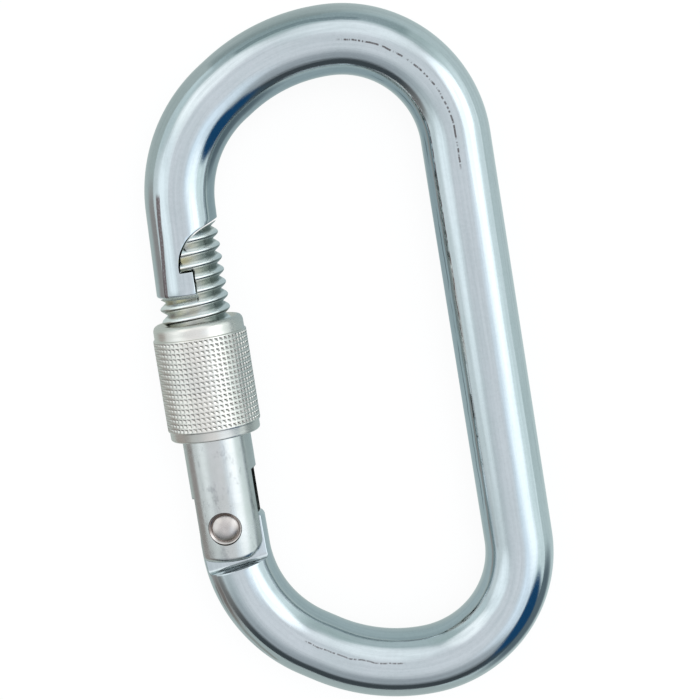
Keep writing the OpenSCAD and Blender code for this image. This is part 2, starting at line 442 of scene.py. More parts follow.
@dataclass(frozen=True)
class MetalFinish:
    """A bare or plated metal finish: its colours, gloss, the marks on it and painted shade in its crevices."""

    name: str
    colour: Triple
    second_colour: Triple
    patch_scale: float = 90.0
    roughness: float = 0.2
    roughness_spread: float = 0.1
    streak_scale: Triple = (1.0, 1.0, 1.0)
    streak_depth: float = 0.0
    fine_scale: Triple = (1.0, 1.0, 1.0)
    fine_depth: float = 0.0
    pit_scale: float = 2500.0
    pit_depth: float = 0.0
    # Painted shade in narrow gaps: how far it looks for cover, the shade's colour, and the openness where it
    # starts and where it is full.
    crevice_reach: float = 0.0
    crevice_shade_colour: Triple = (0.06, 0.065, 0.06)
    crevice_open: float = 0.45
    crevice_shut: float = 0.05
    tone_depth: float = 0.0
    reads_length: bool = False

    def build(self) -> Material:
        """Makes the material.

        Returns:
            A procedural material with colour patches, streaks, fine pits and painted shade in narrow gaps.
        """
        material = bpy.data.materials.new(self.name)
        bench = NodeBench.over(material)
        coordinates = bench.node("ShaderNodeTexCoord")
        place = coordinates.outputs["Object"]
        along = coordinates.outputs["UV"] if self.reads_length else place
        patches = bench.ramp(bench.noise(place, self.patch_scale, 3.0, 0.55), 0.35, 0.68)
        streaks = bench.noise(bench.stretched(along, self.streak_scale), 1.0, 4.0, 0.6)
        fine = bench.noise(bench.stretched(along, self.fine_scale), 1.0, 2.0, 0.5)
        pits = bench.noise(place, self.pit_scale, 3.0, 0.6)
        colour = bench.mix(patches, self.colour, self.second_colour)
        if self.tone_depth:
            mottle = bench.noise(place, 1500.0, 3.0, 0.65)
            soft, rough = bench.ramp(streaks, 0.42, 0.62, 0.0, 0.6), bench.ramp(mottle, 0.40, 0.66, 0.0, 0.4)
            tone = bench.times(bench.maths("ADD", soft, rough), self.tone_depth)
            colour = bench.mix(tone, colour, tuple(0.55 * channel for channel in self.colour))
        colour = self.marks(bench, coordinates, colour)
        # Painted shade: the colour darkens deep in narrow gaps, where shade falls.
        if self.crevice_reach:
            depth = bench.ramp(bench.crevices(self.crevice_reach * MM), self.crevice_open, self.crevice_shut)
            colour = bench.mix(depth, colour, self.crevice_shade_colour)
        half = self.roughness_spread / 2
        spread = bench.ramp(streaks, 0.3, 0.75, self.roughness - half, self.roughness + half)
        height = bench.times(streaks, self.streak_depth * MM)
        height = bench.maths("MULTIPLY_ADD", fine, self.fine_depth * MM, height)
        height = bench.times(height, self.roughened(bench, coordinates))
        height = bench.maths("MULTIPLY_ADD", bench.ramp(pits, 0.25, 0.45), self.pit_depth * MM, height)
        bump = bench.node("ShaderNodeBump", {"Height": height, "Distance": 1.0, "Strength": 1.0})
        shader = bench.node(
            "ShaderNodeBsdfPrincipled",
            {"Base Color": colour, "Roughness": spread, "Normal": bump.outputs[0], "Metallic": 1.0},
        )
        bench.node("ShaderNodeOutputMaterial", {"Surface": shader.outputs[0]})
        return material

    def marks(self, bench: NodeBench, coordinates: Node, colour: Socket) -> Socket:
        """Marks of its own that a finish adds to the colour; none here."""
        return colour

    def roughened(self, bench: NodeBench, coordinates: Node) -> Socket | float:
        """Share of the streaks' height that a place has; all of it here."""
        return 1.0


@dataclass(frozen=True)
class AxisFinish(MetalFinish):
    """A finish whose marks lie about the gate's own axis; sizes in millimetres, lean in degrees."""

    hinge: Flat = (0.0, 0.0)
    axis_x: float = 0.0
    lean: float = 0.0

    def about_axis(self, bench: NodeBench, coordinates: Node) -> list[Socket]:
        """Place as x, y and z about the gate's axis, before the gate leans.

        Args:
            bench: Writes the nodes.
            coordinates: Texture coordinates.

        Returns:
            The three parts of the place, in metres.
        """
        hinge = Vector((*self.hinge, 0.0))
        turned = Matrix.Rotation(math.radians(self.lean), 3, "Z") @ hinge
        shift = (hinge - turned - Vector((self.axis_x, 0.0, 0.0))) * MM
        place, turn = coordinates.outputs["Object"], (0.0, 0.0, math.radians(self.lean))
        inputs = {"Vector": place, "Location": tuple(shift), "Rotation": turn}
        return bench.split(bench.node("ShaderNodeMapping", inputs).outputs[0])


@dataclass(frozen=True)
class WearAndReflectionLine:
    """A line that runs along the bar, used both for worn marks and for painted dark reflections: lengths in
    millimetres, turns round the bar in degrees.
    """

    start: float
    end: float
    first_turn: float
    last_turn: float
    width: float
    strength: float = 1.0
    dots: float = 0.0
    wander: float = 0.3
    core: float = 0.67
    colour: Triple = (0.10, 0.085, 0.085)


@dataclass(frozen=True)
class BarFinish(MetalFinish):
    """Bright plate on the bent bar, with worn lines and painted dark reflections along it."""

    bar_r: float = 5.5
    lines: tuple[WearAndReflectionLine, ...] = ()
    milled_from: float = 1000.0

    def roughened(self, bench: NodeBench, coordinates: Node) -> Socket | float:
        """Full streaks on the drawn bar, hardly any on the milled tang at its end."""
        length = bench.split(coordinates.outputs["UV"])[0]
        return bench.ramp(length, self.milled_from * MM, (self.milled_from + 1) * MM, 1.0, 0.08)

    def marks(self, bench: NodeBench, coordinates: Node, colour: Socket) -> Socket:
        """Adds the worn lines and the painted reflections to the colour.

        Args:
            bench: Writes the nodes.
            coordinates: Texture coordinates, whose map holds the length along and round the bar in metres.
            colour: Colour so far.

        Returns:
            The colour with the lines on it.
        """
        place = coordinates.outputs["UV"]
        length, around, _ = bench.split(place)
        wobble = bench.noise(bench.stretched(place, (220.0, 20.0, 1.0)), 1.0, 2.0)
        grain = bench.noise(bench.stretched(place, (3000.0, 5000.0, 1.0)), 1.0, 2.0, 0.7)
        grain = bench.ramp(grain, 0.30, 0.50, 0.6, 1.0)
        for line in self.lines:
            start, end = line.start * MM, line.end * MM
            first, last = (math.radians(t) * self.bar_r * MM for t in (line.first_turn, line.last_turn))
            share = bench.maths("DIVIDE", bench.maths("SUBTRACT", length, start), end - start)
            middle = bench.maths("MULTIPLY_ADD", share, last - first, first)
            shift = bench.maths("MULTIPLY_ADD", wobble, line.wander * MM * 2, -line.wander * MM)
            off, half = bench.apart(bench.maths("ADD", middle, shift), around), line.width * MM / 2
            inside = bench.times(bench.ramp(share, 0.0, 0.06), bench.ramp(share, 1.0, 0.94))
            mask = bench.times(bench.ramp(off, half, line.core * half), inside)
            if line.dots:
                beads = bench.noise(bench.stretched(place, (line.dots, 300.0, 1.0)), 1.0, 2.0, 0.6)
                mask = bench.times(mask, bench.ramp(beads, 0.38, 0.54))
            colour = bench.mix(bench.times(mask, grain, line.strength), colour, line.colour)
        return colour


@dataclass(frozen=True)
class GateFinish(AxisFinish):
    """Satin steel with a painted highlight on the thread crests, painted warm light and shade in the roots,
    and painted shade in the slot; sizes in millimetres.
    """

    # Painted light and shade of the thread: warm light on the left of the roots, shade on their right, a
    # highlight on the crests and a shade line below them.
    root_warm_light: Triple = (0.68, 0.65, 0.48)
    shade: Triple = (0.32, 0.36, 0.34)
    crest: Triple = (0.96, 0.96, 0.94)
    crest_shade_line: Triple = (0.16, 0.17, 0.155)
    smudge: Triple = (0.31, 0.31, 0.32)
    # Colour of the painted shade deep in the slot.
    slot_shade: Triple = (0.05, 0.055, 0.05)
    thread_from: float = 8.0
    thread_start: float = -1.5
    slot_end: float = -15.85
    slot_rise: float = 0.3545
    slot_half: float = 2.5
    pitch: float = 2.0

    def marks(self, bench: NodeBench, coordinates: Node, colour: Socket) -> Socket:
        """Adds the thread's bands of painted highlight and shade, the slot's painted shade and a few smudges
        to the colour.

        Args:
            bench: Writes the nodes.
            coordinates: Texture coordinates.
            colour: Colour so far.

        Returns:
            The colour with the marks on it.
        """
        place = coordinates.outputs["Object"]
        x, y, z = self.about_axis(bench, coordinates)
        around = bench.maths("DIVIDE", bench.maths("ARCTAN2", x, z), 2 * math.pi)
        along = bench.maths("DIVIDE", bench.maths("SUBTRACT", y, self.thread_start * MM), self.pitch * MM)
        phase = bench.maths("FRACT", bench.maths("SUBTRACT", along, around))
        on_thread = bench.ramp(y, (self.thread_from - 0.6) * MM, self.thread_from * MM)
        # Painted highlight on the crests and a painted shade line below them.
        crest = bench.times(bench.ramp(phase, 0.47, 0.56), bench.ramp(phase, 0.88, 0.76))
        under = bench.ramp(bench.apart(phase, 0.40), 0.09, 0.02, 0.0, 0.55)
        # Painted warm light on the left of the roots, in random patches, and painted shade towards their
        # right.
        patch = bench.ramp(bench.noise(place, 420.0, 2.0, 0.55), 0.32, 0.58)
        patch = bench.times(patch, bench.ramp(y, 13 * MM, 16 * MM, 0.45, 1.0))
        left = bench.times(bench.ramp(x, 2.0 * MM, -0.8 * MM, 0.25, 0.85), patch)
        root = bench.mix(left, colour, self.root_warm_light)
        root = bench.mix(bench.ramp(x, 0.7 * MM, 3.4 * MM, 0.0, 0.70), root, self.shade)
        thread = bench.mix(under, bench.mix(crest, root, self.crest), self.crest_shade_line)
        colour = bench.mix(on_thread, colour, thread)
        smudge = bench.noise(bench.stretched(place, (500.0, 260.0, 500.0)), 1.0, 4.0, 0.7)
        on_barrel = bench.ramp(y, self.thread_from * MM, (self.thread_from - 1) * MM)
        smudged = bench.times(bench.ramp(smudge, 0.56, 0.72, 0.0, 0.5), on_barrel)
        colour = bench.mix(smudged, colour, self.smudge)
        # Painted shade deep in the slot between the ears.
        sloped = bench.maths("MULTIPLY_ADD", x, -self.slot_rise, y)
        in_slot = bench.ramp(sloped, (self.slot_end + 0.14) * MM, (self.slot_end + 0.01) * MM)
        off_middle = bench.maths("ABSOLUTE", z)
        between = bench.ramp(off_middle, (self.slot_half + 0.06) * MM, (self.slot_half + 0.02) * MM)
        return bench.mix(bench.times(in_slot, between), colour, self.slot_shade)


@dataclass(frozen=True)
class KnurlFinish(AxisFinish):
    """Satin steel of the sleeve, with a slanted dash of painted shade in each pit of the knurl."""

    columns: int = 58
    rows: int = 18
    low: float = 0.0
    high: float = 1.0
    slant: float = 0.78
    # Place and colour of the painted shade on the upper wall of each pit.
    dash: Flat = (0.54, 0.60)
    dash_shade_colour: Triple = (0.085, 0.08, 0.075)

    def marks(self, bench: NodeBench, coordinates: Node, colour: Socket) -> Socket:
        """Adds the dashes of painted shade to the colour.

        Args:
            bench: Writes the nodes.
            coordinates: Texture coordinates.
            colour: Colour so far.

        Returns:
            The colour with the dashes on it.
        """
        x, y, z = self.about_axis(bench, coordinates)
        turns = bench.maths("DIVIDE", bench.maths("ARCTAN2", x, z), 2 * math.pi / self.columns)
        across = bench.maths("FRACT", bench.maths("ADD", turns, 0.5))
        low, high = self.low * MM, self.high * MM
        up = bench.maths("DIVIDE", bench.maths("SUBTRACT", y, low), (high - low) / self.rows)
        slanted = bench.maths("MULTIPLY_ADD", across, self.slant, bench.maths("FRACT", up))
        off_up = bench.apart(slanted, self.dash[1] + self.slant * self.dash[0])
        off_across = bench.apart(across, self.dash[0])
        # Painted shade: a slanted dash high in each pit, at a random strength.
        dash = bench.times(bench.ramp(off_up, 0.17, 0.06), bench.ramp(off_across, 0.42, 0.30))
        inside = bench.times(bench.ramp(y, low, low + 0.05 * MM), bench.ramp(y, high, high - 0.05 * MM))
        dash_strength = bench.ramp(bench.noise(coordinates.outputs["Object"], 420.0, 2.0, 0.6), 0.3, 0.7, 0.95, 0.65)
        return bench.mix(bench.times(dash, inside, dash_strength), colour, self.dash_shade_colour)


@dataclass(frozen=True)
class RivetFinish(MetalFinish):
    """Peened steel with painted brown shade low on its dome and high on its rim; sizes in millimetres."""

    hinge: Flat = (0.0, 0.0)
    towards: Flat = (0.53, -0.85)
    dome_r: float = 2.17
    shade: Triple = (0.19, 0.145, 0.125)

    def marks(self, bench: NodeBench, coordinates: Node, colour: Socket) -> Socket:
        """Adds the two crescents of painted shade to the colour.

        Args:
            bench: Writes the nodes.
            coordinates: Texture coordinates.
            colour: Colour so far.

        Returns:
            The colour with the shade on it.
        """
        middle = (self.hinge[0] * MM, self.hinge[1] * MM, 0.0)
        flat = bench.stretched(coordinates.outputs["Object"], (1.0, 1.0, 0.0))
        off = bench.vectors("SUBTRACT", flat, middle)
        reach, side = bench.vectors("LENGTH", off), bench.vectors("DOT_PRODUCT", off, (*self.towards, 0.0))
        edge = self.dome_r * MM
        # Painted shade: a crescent low on the dome and one high on the rim.
        low = bench.times(
            bench.ramp(side, 0.1 * MM, 1.9 * MM, 0.0, 0.75), bench.ramp(reach, 0.45 * edge, 0.92 * edge),
            bench.ramp(reach, edge + 0.02 * MM, edge - 0.06 * MM),
        )
        rim = bench.ramp(reach, edge - 0.1 * MM, edge)
        high = bench.times(bench.ramp(side, -0.2 * MM, -1.4 * MM, 0.0, 0.85), rim)
        return bench.mix(bench.maths("ADD", low, high, clamp=True), colour, self.shade)


WEAR_AND_REFLECTION_LINES = (
    # Lines along the bar: worn lines first, then two soft brown streaks on the lower bow, and last two painted
    # dark reflections over the upper bow.
    WearAndReflectionLine(52.0, 84.0, 92.0, 91.5, 0.34, 0.9, dots=1900.0),
    WearAndReflectionLine(175.0, 193.0, 105.5, 102.0, 0.30, 0.75, dots=1900.0, wander=0.5),
    WearAndReflectionLine(-2.0, 15.0, 49.5, 58.5, 0.92, 0.92, wander=0.2, colour=(0.14, 0.098, 0.10)),
    WearAndReflectionLine(66.0, 112.0, 136.0, 137.0, 0.26, 0.85, dots=500.0, wander=0.25, colour=(0.10, 0.05, 0.05)),
    WearAndReflectionLine(58.0, 140.0, 152.0, 152.0, 0.30, 0.65, dots=120.0, wander=0.4, colour=(0.11, 0.14, 0.16)),
    WearAndReflectionLine(86.0, 142.0, 144.0, 145.0, 0.22, 0.5, dots=160.0, wander=0.3, colour=(0.13, 0.16, 0.17)),
    WearAndReflectionLine(80.0, 140.0, 27.0, 28.0, 0.25, 0.35, dots=160.0, wander=0.3, colour=(0.26, 0.33, 0.34)),
    WearAndReflectionLine(194.0, 209.0, 38.0, 44.0, 0.9, 0.55, dots=150.0, wander=0.6, colour=(0.22, 0.17, 0.14)),
    WearAndReflectionLine(196.0, 208.0, 26.0, 34.0, 0.6, 0.55, dots=220.0, wander=0.5, colour=(0.17, 0.12, 0.10)),
    # Painted dark reflection: a wide soft band and a crisp arc over the upper bow.
    WearAndReflectionLine(33.0, 63.0, 44.0, 53.0, 3.2, 0.55, wander=0.2, core=0.10, colour=(0.22, 0.28, 0.30)),
    WearAndReflectionLine(37.0, 56.0, 55.0, 56.5, 0.7, 0.55, wander=0.25, colour=(0.17, 0.22, 0.24)),
)
ZINC_PLATE = BarFinish(
    "bright_zinc_plate", (0.585, 0.63, 0.65), (0.555, 0.61, 0.625), patch_scale=90.0,
    roughness=0.09, roughness_spread=0.07, streak_scale=(45.0, 1700.0, 1.0), streak_depth=0.010,
    fine_scale=(220.0, 6500.0, 1.0), fine_depth=0.0022,
    pit_scale=2600.0, pit_depth=0.0022, tone_depth=0.20, reads_length=True, lines=WEAR_AND_REFLECTION_LINES,
)
SATIN_STEEL = GateFinish(
    "satin_turned_steel", (0.60, 0.605, 0.595), (0.56, 0.57, 0.55), patch_scale=220.0,
    roughness=0.24, roughness_spread=0.12, streak_scale=(120.0, 900.0, 120.0), streak_depth=0.0012,
    fine_scale=(300.0, 4500.0, 300.0), fine_depth=0.0006,
    pit_scale=1400.0, pit_depth=0.002, crevice_reach=0.4,
)
SLEEVE_STEEL = KnurlFinish(
    "satin_sleeve_steel", (0.77, 0.735, 0.68), (0.73, 0.705, 0.66), patch_scale=160.0,
    roughness=0.30, roughness_spread=0.10, streak_scale=(160.0, 3000.0, 160.0), streak_depth=0.0012,
    # Painted shade in the knurl's pits and other narrow gaps.
    pit_scale=1800.0, pit_depth=0.0015, crevice_reach=0.6, crevice_shade_colour=(0.10, 0.095, 0.085),
    crevice_open=0.55, crevice_shut=0.10,
)
RIVET_STEEL = RivetFinish(
    "peened_rivet_steel", (0.62, 0.565, 0.535), (0.55, 0.51, 0.485), patch_scale=500.0,
    roughness=0.28, roughness_spread=0.10, streak_scale=(900.0, 900.0, 900.0), streak_depth=0.003,
    pit_scale=2200.0, pit_depth=0.002, crevice_reach=0.5,
)
SPRING_WIRE = MetalFinish(
    "dull_spring_wire", (0.26, 0.27, 0.28), (0.20, 0.20, 0.21), patch_scale=400.0,
    roughness=0.35, roughness_spread=0.1,
)


@dataclass(frozen=True)
class Station:
    """One place on the bar's centre line, with the direction out of the oval and the length so far."""

    x: float
    y: float
    out: Flat
    length: float


@dataclass
class GateLine:
    """Sizes that the bar, the gate and the sleeve share, in millimetres."""

    bar_r: float = 5.5
    oval_l: float = 112.0
    corner_r: float = 18.0
    corner_turn: float = 88.0
    crown_r: float = 28.0
    crown_turn: float = 35.0
    lower_flank_l: float = 2.5
    upper_flank_l: float = 1.6
    shoulder_r: float = 21.0
    limb_lean: float = 2.8
    sleeve_r: float = 7.45
    sleeve_l: float = 18.6
    sleeve_top_y: float = 10.6
    lower_band: float = 1.5
    knurl_step: float = 0.2
    nose_y: float = 15.0
    ledge_y: float = 18.7
    notch_r: float = 6.2
    notch_slope: float = 24.0
    notch_c: Flat = (5.2, 19.2)
    tooth_x: float = 1.05
    claw_gap: float = 0.25
    nose_gap: float = 0.45
    rivet_y: float = -22.5
    rivet_set: float = 0.5
    gate_out: float = 0.2
    gate_lean: float = 0.8
    pitch: float = 2.0

    def __post_init__(self) -> None:
        """Works out where the spine, the limbs, the gate and the bows lie."""
        corner = (-self.corner_r, 0.0)
        step = polar(self.crown_r - self.corner_r, self.corner_turn)
        self.crown_c = (corner[0] - step[0], corner[1] - step[1])
        self.flank_turn = self.corner_turn + self.crown_turn
        across = self.shoulder_r - self.shoulder_c(self.lower_flank_l)[0]
        knurl_low = self.sleeve_top_y - self.sleeve_l + self.lower_band + self.knurl_step
        lean = math.radians(self.gate_lean)
        reach = self.gate_out + self.rivet_set + (self.sleeve_r - self.rivet_set) * math.cos(lean)
        reach -= (knurl_low - self.rivet_y) * math.sin(lean)
        self.spine_x = (across + reach - self.bar_r) / 2
        self.limb_x = self.spine_x - across
        self.bow_y = self.oval_l / 2 - self.bar_r - self.crown_c[1] - self.crown_r
        self.limb_y = self.bow_y + self.shoulder_c(self.lower_flank_l)[1]
        self.limb_turn = 180 - self.limb_lean
        upper = self.shoulder_c(self.upper_flank_l)
        limb_out = polar(self.shoulder_r, self.limb_turn)
        self.limb_top = (self.spine_x + upper[0] + limb_out[0], self.bow_y + upper[1] + limb_out[1])
        self.gate_x = self.limb_x - self.gate_out
        self.hinge = (self.gate_x - self.rivet_set, self.rivet_y)
        length = (self.limb_top[1] - self.nose_y) / math.cos(math.radians(self.limb_lean))
        down = polar(length, self.limb_turn + 90)
        shift = (self.nose_y - self.rivet_y) * math.sin(lean)
        self.nose_foot = self.lean((self.limb_top[0] + down[0] - shift, self.limb_top[1] + down[1]))

    def shoulder_c(self, flank_l: float) -> Flat:
        """Centre of a bow's shoulder bend, from the bow's own corner, with a flank of this length.

        Args:
            flank_l: Length of the straight flank.

        Returns:
            The centre in the bow's plane.
        """
        out = polar(1.0, self.flank_turn)
        along = polar(flank_l, self.flank_turn + 90)
        reach = self.crown_r - self.shoulder_r
        return self.crown_c[0] + reach * out[0] + along[0], self.crown_c[1] + reach * out[1] + along[1]

    def lean(self, point: Flat) -> Flat:
        """Turns a point of the upright gate about the rivet, onto the gate's leaning line.

        Args:
            point: Point of the upright gate.

        Returns:
            The point on the leaning gate.
        """
        turn = math.radians(-self.gate_lean)
        x, y = point[0] - self.hinge[0], point[1] - self.hinge[1]
        return (
            self.hinge[0] + x * math.cos(turn) - y * math.sin(turn),
            self.hinge[1] + x * math.sin(turn) + y * math.cos(turn),
        )

    def lean_matrix(self) -> Matrix:
        """The same turn as a matrix, for a whole mesh in millimetres.

        Returns:
            The turn about the rivet.
        """
        middle = Vector((*self.hinge, 0.0))
        turn = Matrix.Rotation(math.radians(-self.gate_lean), 4, "Z")
        return Matrix.Translation(middle) @ turn @ Matrix.Translation(-middle)

    def claw_outline(self, growth: float) -> list[Flat]:
        """Outline of the claw's space across from the gate's axis; a negative growth gives the claw itself.

        Args:
            growth: How far the outline is moved outwards, in millimetres.

        Returns:
            The outline's points, from the foot of the tooth round the notch to the far side.
        """
        radius = self.notch_r + growth
        ledge = self.ledge_y - growth
        foot = self.nose_y - 1
        low_turn = 180 + math.degrees(math.asin((self.notch_c[1] - ledge) / radius))
        notch = arc(self.notch_c, radius, low_turn, 90 + self.notch_slope, 40)
        reach = polar(11.0, self.notch_slope)
        far = (notch[-1][0] + reach[0], notch[-1][1] + reach[1])
        return [(self.tooth_x - growth, foot), (self.tooth_x - growth, ledge), *notch, far, (far[0], foot)]

    def upright(self, outline: list[Flat]) -> list[Flat]:
        """Moves an outline drawn across from the gate's axis to the gate before it leans."""
        return [(x + self.gate_x, y) for x, y in outline]

    def at_gate(self, outline: list[Flat]) -> list[Flat]:
        """Moves an outline drawn across from the gate's axis to its place in the object."""
        return [self.lean(point) for point in self.upright(outline)]


@dataclass
class OvalBar:
    """The bent bar: spine, two bows, claw nose and hinge tang."""

    line: GateLine
    around: int = 96
    turn_step: float = 1.5
    nose_edge: float = 0.4
    tang_t: float = 4.7
    nose_straight: float = 1.2
    shoulder_h: float = -7.0
    shoulder_tilt: float = 8.5
    ear_end: float = -5.6
    crown_h: float = 4.4
    cam_rise: float = 2.2
    tang_round_r: float = 4.3
    cam_end: float = 26.0
    rivet_hole_r: float = 2.15
    bar_end_y: float = -16.1
    edge_width: float = 0.12
    foot_r: float = 0.7
    milled_l: float = 16.0

    def centre_line(self) -> list[Station]:
        """Stations from the nose up over the upper bow, down the spine and round to the hinge.

        Returns:
            The stations in order.
        """
        line = self.line

        def bow(flank_l: float, limb_turn: float) -> list[tuple[float, float, Flat]]:
            """Places of one bow from its shoulder to the spine, each with its outward direction.

            Args:
                flank_l: Length of its straight flank.
                limb_turn: Angle at which its limb starts.

            Returns:
                Rows of x, y and the direction.
            """
            bends = (
                (line.shoulder_c(flank_l), line.shoulder_r, limb_turn, line.flank_turn),
                (line.crown_c, line.crown_r, line.flank_turn, line.corner_turn),
                ((-line.corner_r, 0.0), line.corner_r, line.corner_turn, 0.0),
            )
            places = []
            for centre, radius, start, end in bends:
                steps = max(2, round(abs(end - start) / self.turn_step))
                for x, y in arc(centre, radius, start, end, steps):
                    out = ((x - centre[0]) / radius, (y - centre[1]) / radius)
                    places.append((line.spine_x + x, line.bow_y + y, out))
            return places

        upper = bow(line.upper_flank_l, line.limb_turn)
        lower = [(x, -y, (out[0], -out[1])) for x, y, out in reversed(bow(line.lower_flank_l, 180.0))]
        nose_steps, spine_steps, limb_steps = 12, 30, 10
        nose_out = polar(1.0, line.limb_turn)
        up_limb = polar(1.0, line.limb_turn - 90)
        length = math.hypot(line.limb_top[0] - line.nose_foot[0], line.limb_top[1] - line.nose_foot[1])
        nose = [
            (line.limb_top[0] - up_limb[0] * back, line.limb_top[1] - up_limb[1] * back, nose_out)
            for back in ((length - self.nose_straight) * (1 - i / nose_steps) for i in range(nose_steps))
        ]
        spine = [
            (line.spine_x, line.bow_y - 2 * line.bow_y * i / spine_steps, (1.0, 0.0))
            for i in range(1, spine_steps)
        ]
        limb = [
            (line.limb_x, -line.limb_y + (line.limb_y + self.bar_end_y) * i / limb_steps, (-1.0, 0.0))
            for i in range(1, limb_steps + 1)
        ]
        stations: list[Station] = []
        length = 0.0
        for x, y, out in nose + upper + spine + lower + limb:
            if stations:
                gap = math.hypot(x - stations[-1].x, y - stations[-1].y)
                if gap < 1e-6:
                    continue
                length += gap
            stations.append(Station(x, y, out, length))
        return stations

    def ring(self, station: Station, radius: float) -> list[Vector]:
        """Ring of corners square to the bar round one station.

        Args:
            station: Place on the centre line.
            radius: Radius of the ring.

        Returns:
            The corners in order.
        """
        ring = []
        for j in range(self.around):
            across, up = polar(radius, 360 * j / self.around)
            x, y = station.x + across * station.out[0], station.y + across * station.out[1]
            ring.append(Vector((x, y, up)))
        return ring

    def nose_ring(self, radius: float, height: float) -> list[Vector]:
        """Ring of the bar square to the gate's axis, at a height over the nose's end face.

        Args:
            radius: Radius of the ring.
            height: Height over the end face.

        Returns:
            The corners in order.
        """
        line = self.line
        out = Vector((*polar(1.0, line.limb_turn), 0.0))
        along = Vector((*polar(1.0, line.limb_turn - 90), 0.0))
        gate_up = Vector((*polar(1.0, 90 - line.gate_lean), 0.0))
        foot = Vector((*line.nose_foot, 0.0))
        ring = []
        for j in range(self.around):
            across, up = polar(radius, 360 * j / self.around)
            corner = foot + out * across
            corner += along * ((height - (corner - foot).dot(gate_up)) / along.dot(gate_up))
            ring.append(Vector((corner.x, corner.y, up)))
        return ring

    def crown_cutter(self) -> list[Flat]:
        """Outline of what is milled away round the tang's crown, about the rivet's axis.

        Returns:
            The corners in order.
        """
        low = self.ear_end - 0.5
        inner_x = self.line.bar_r + self.line.rivet_set + self.line.gate_out
        side, top = 11.0, 14.0
        cam = []
        for step in range(0, int(self.cam_end) + 1, 2):
            angle = math.radians(step)
            height = self.crown_h + self.cam_rise * angle
            cam.append((
                height * math.sin(angle) + self.cam_rise * math.cos(angle),
                height * math.cos(angle) - self.cam_rise * math.sin(angle),
            ))
        return [
            (-side, low), (-self.tang_round_r - 0.83, low), *arc((0.0, 0.0), self.tang_round_r, 180, 110, 7),
            (-1.2, self.crown_h), *cam, (inner_x - 1.15, 0.9), (inner_x - 0.5, 0.76), (inner_x - 0.25, 0.6),
            (inner_x - 0.08, 0.38), (inner_x, 0.1), (inner_x + 1.85, low),
            (side, low), (side, top), (-side, top),
        ]

    def flat_cutter(self, side: int) -> Object:
        """Block that mills one flat of the tang, with a rounded foot at the shoulder's wall.

        Args:
            side: 1 for the near flat, -1 for the far one.

        Returns:
            The block as a closed mesh in millimetres.
        """
        line, half, foot = self.line, self.tang_t / 2, self.foot_r
        tilt = Matrix.Rotation(math.radians(self.shoulder_tilt), 4, "Z")
        wall = Matrix.Translation((line.gate_x, line.rivet_y + self.shoulder_h, 0))
        upright = Matrix(((0, 0, 1, 0), (1, 0, 0, 0), (0, 1, 0, 0), (0, 0, 0, 1)))
        side_view = [(20, half), *arc((foot, half + foot), foot, 270, 180, 8), (0, PAST_BAR), (20, PAST_BAR)]
        flat = MeshShop.prism("flat", side_view, -PAST_BAR, PAST_BAR)
        flat.data.transform(line.lean_matrix() @ wall @ tilt @ upright)
        if side < 0:
            flat.data.transform(Matrix.Scale(-1, 4, (0, 0, 1)))
            MeshShop.tidy(flat, 1e-4)
        return flat

    def build(self) -> Object:
        """Makes the bar.

        Returns:
            The bar as one closed mesh in millimetres, with its own lengthwise map.
        """
        line = self.line
        stations = self.centre_line()
        rings = []
        for angle in (0, 22.5, 45, 67.5, 90):
            across, drop = polar(self.nose_edge, angle)
            rings.append(self.nose_ring(line.bar_r - self.nose_edge + drop, self.nose_edge - across))
        rings += [self.ring(station, line.bar_r) for station in stations]
        bar = MeshShop.tube("oval_bar", rings)
        notch = MeshShop.prism("notch", line.at_gate(line.claw_outline(0)), -PAST_BAR, PAST_BAR)
        MeshShop.cut(bar, notch, Cut.AWAY)
        for side in (-1, 1):
            MeshShop.cut(bar, self.flat_cutter(side), Cut.AWAY)
        milled = [line.lean((x + line.hinge[0], y + line.hinge[1])) for x, y in self.crown_cutter()]
        hole = arc(line.hinge, self.rivet_hole_r, 0, 350, 35)
        for name, outline in (("crown", milled), ("hole", hole)):
            MeshShop.cut(bar, MeshShop.prism(name, outline, -PAST_TANG, PAST_TANG), Cut.AWAY)
        MeshShop.tidy(bar, MERGE)

        def near_ends(place: Vector) -> bool:
            """True at the nose and the tang, where the bar is cut."""
            return abs(place.x - line.gate_x) < 9 and -33 < place.y < 30

        MeshShop.round_edges(bar, self.edge_width, near_ends, 38)
        self.map_lengthwise(bar, stations)
        return bar

    def map_lengthwise(self, bar: Object, stations: list[Station]) -> None:
        """Writes a map with the length along the bar and the length round it, in metres.

        Args:
            bar: The bar's mesh in millimetres.
            stations: Its centre line.
        """
        line = self.line
        layer = bar.data.uv_layers.new(name="bar_length")
        places = [Vector((s.x, s.y)) for s in stations]
        mapped: list[Flat] = []
        for vertex in bar.data.vertices:
            flat = Vector((vertex.co.x, vertex.co.y))
            nearest = min(range(len(places)), key=lambda n: (places[n] - flat).length_squared)
            station = stations[nearest]
            along = Vector((station.out[1], -station.out[0]))
            offset = flat - places[nearest]
            turn = math.atan2(vertex.co.z, offset.dot(Vector(station.out)))
            mapped.append((station.length + offset.dot(along), turn))
        for face in bar.data.polygons:
            turns = [mapped[bar.data.loops[i].vertex_index][1] for i in face.loop_indices]
            far_apart = max(turns) - min(turns) > math.pi
            for i, turn in zip(face.loop_indices, turns):
                length = mapped[bar.data.loops[i].vertex_index][0]
                if far_apart and turn < 0:
                    turn += 2 * math.pi
                layer.data[i].uv = (length * MM, turn * line.bar_r * MM)


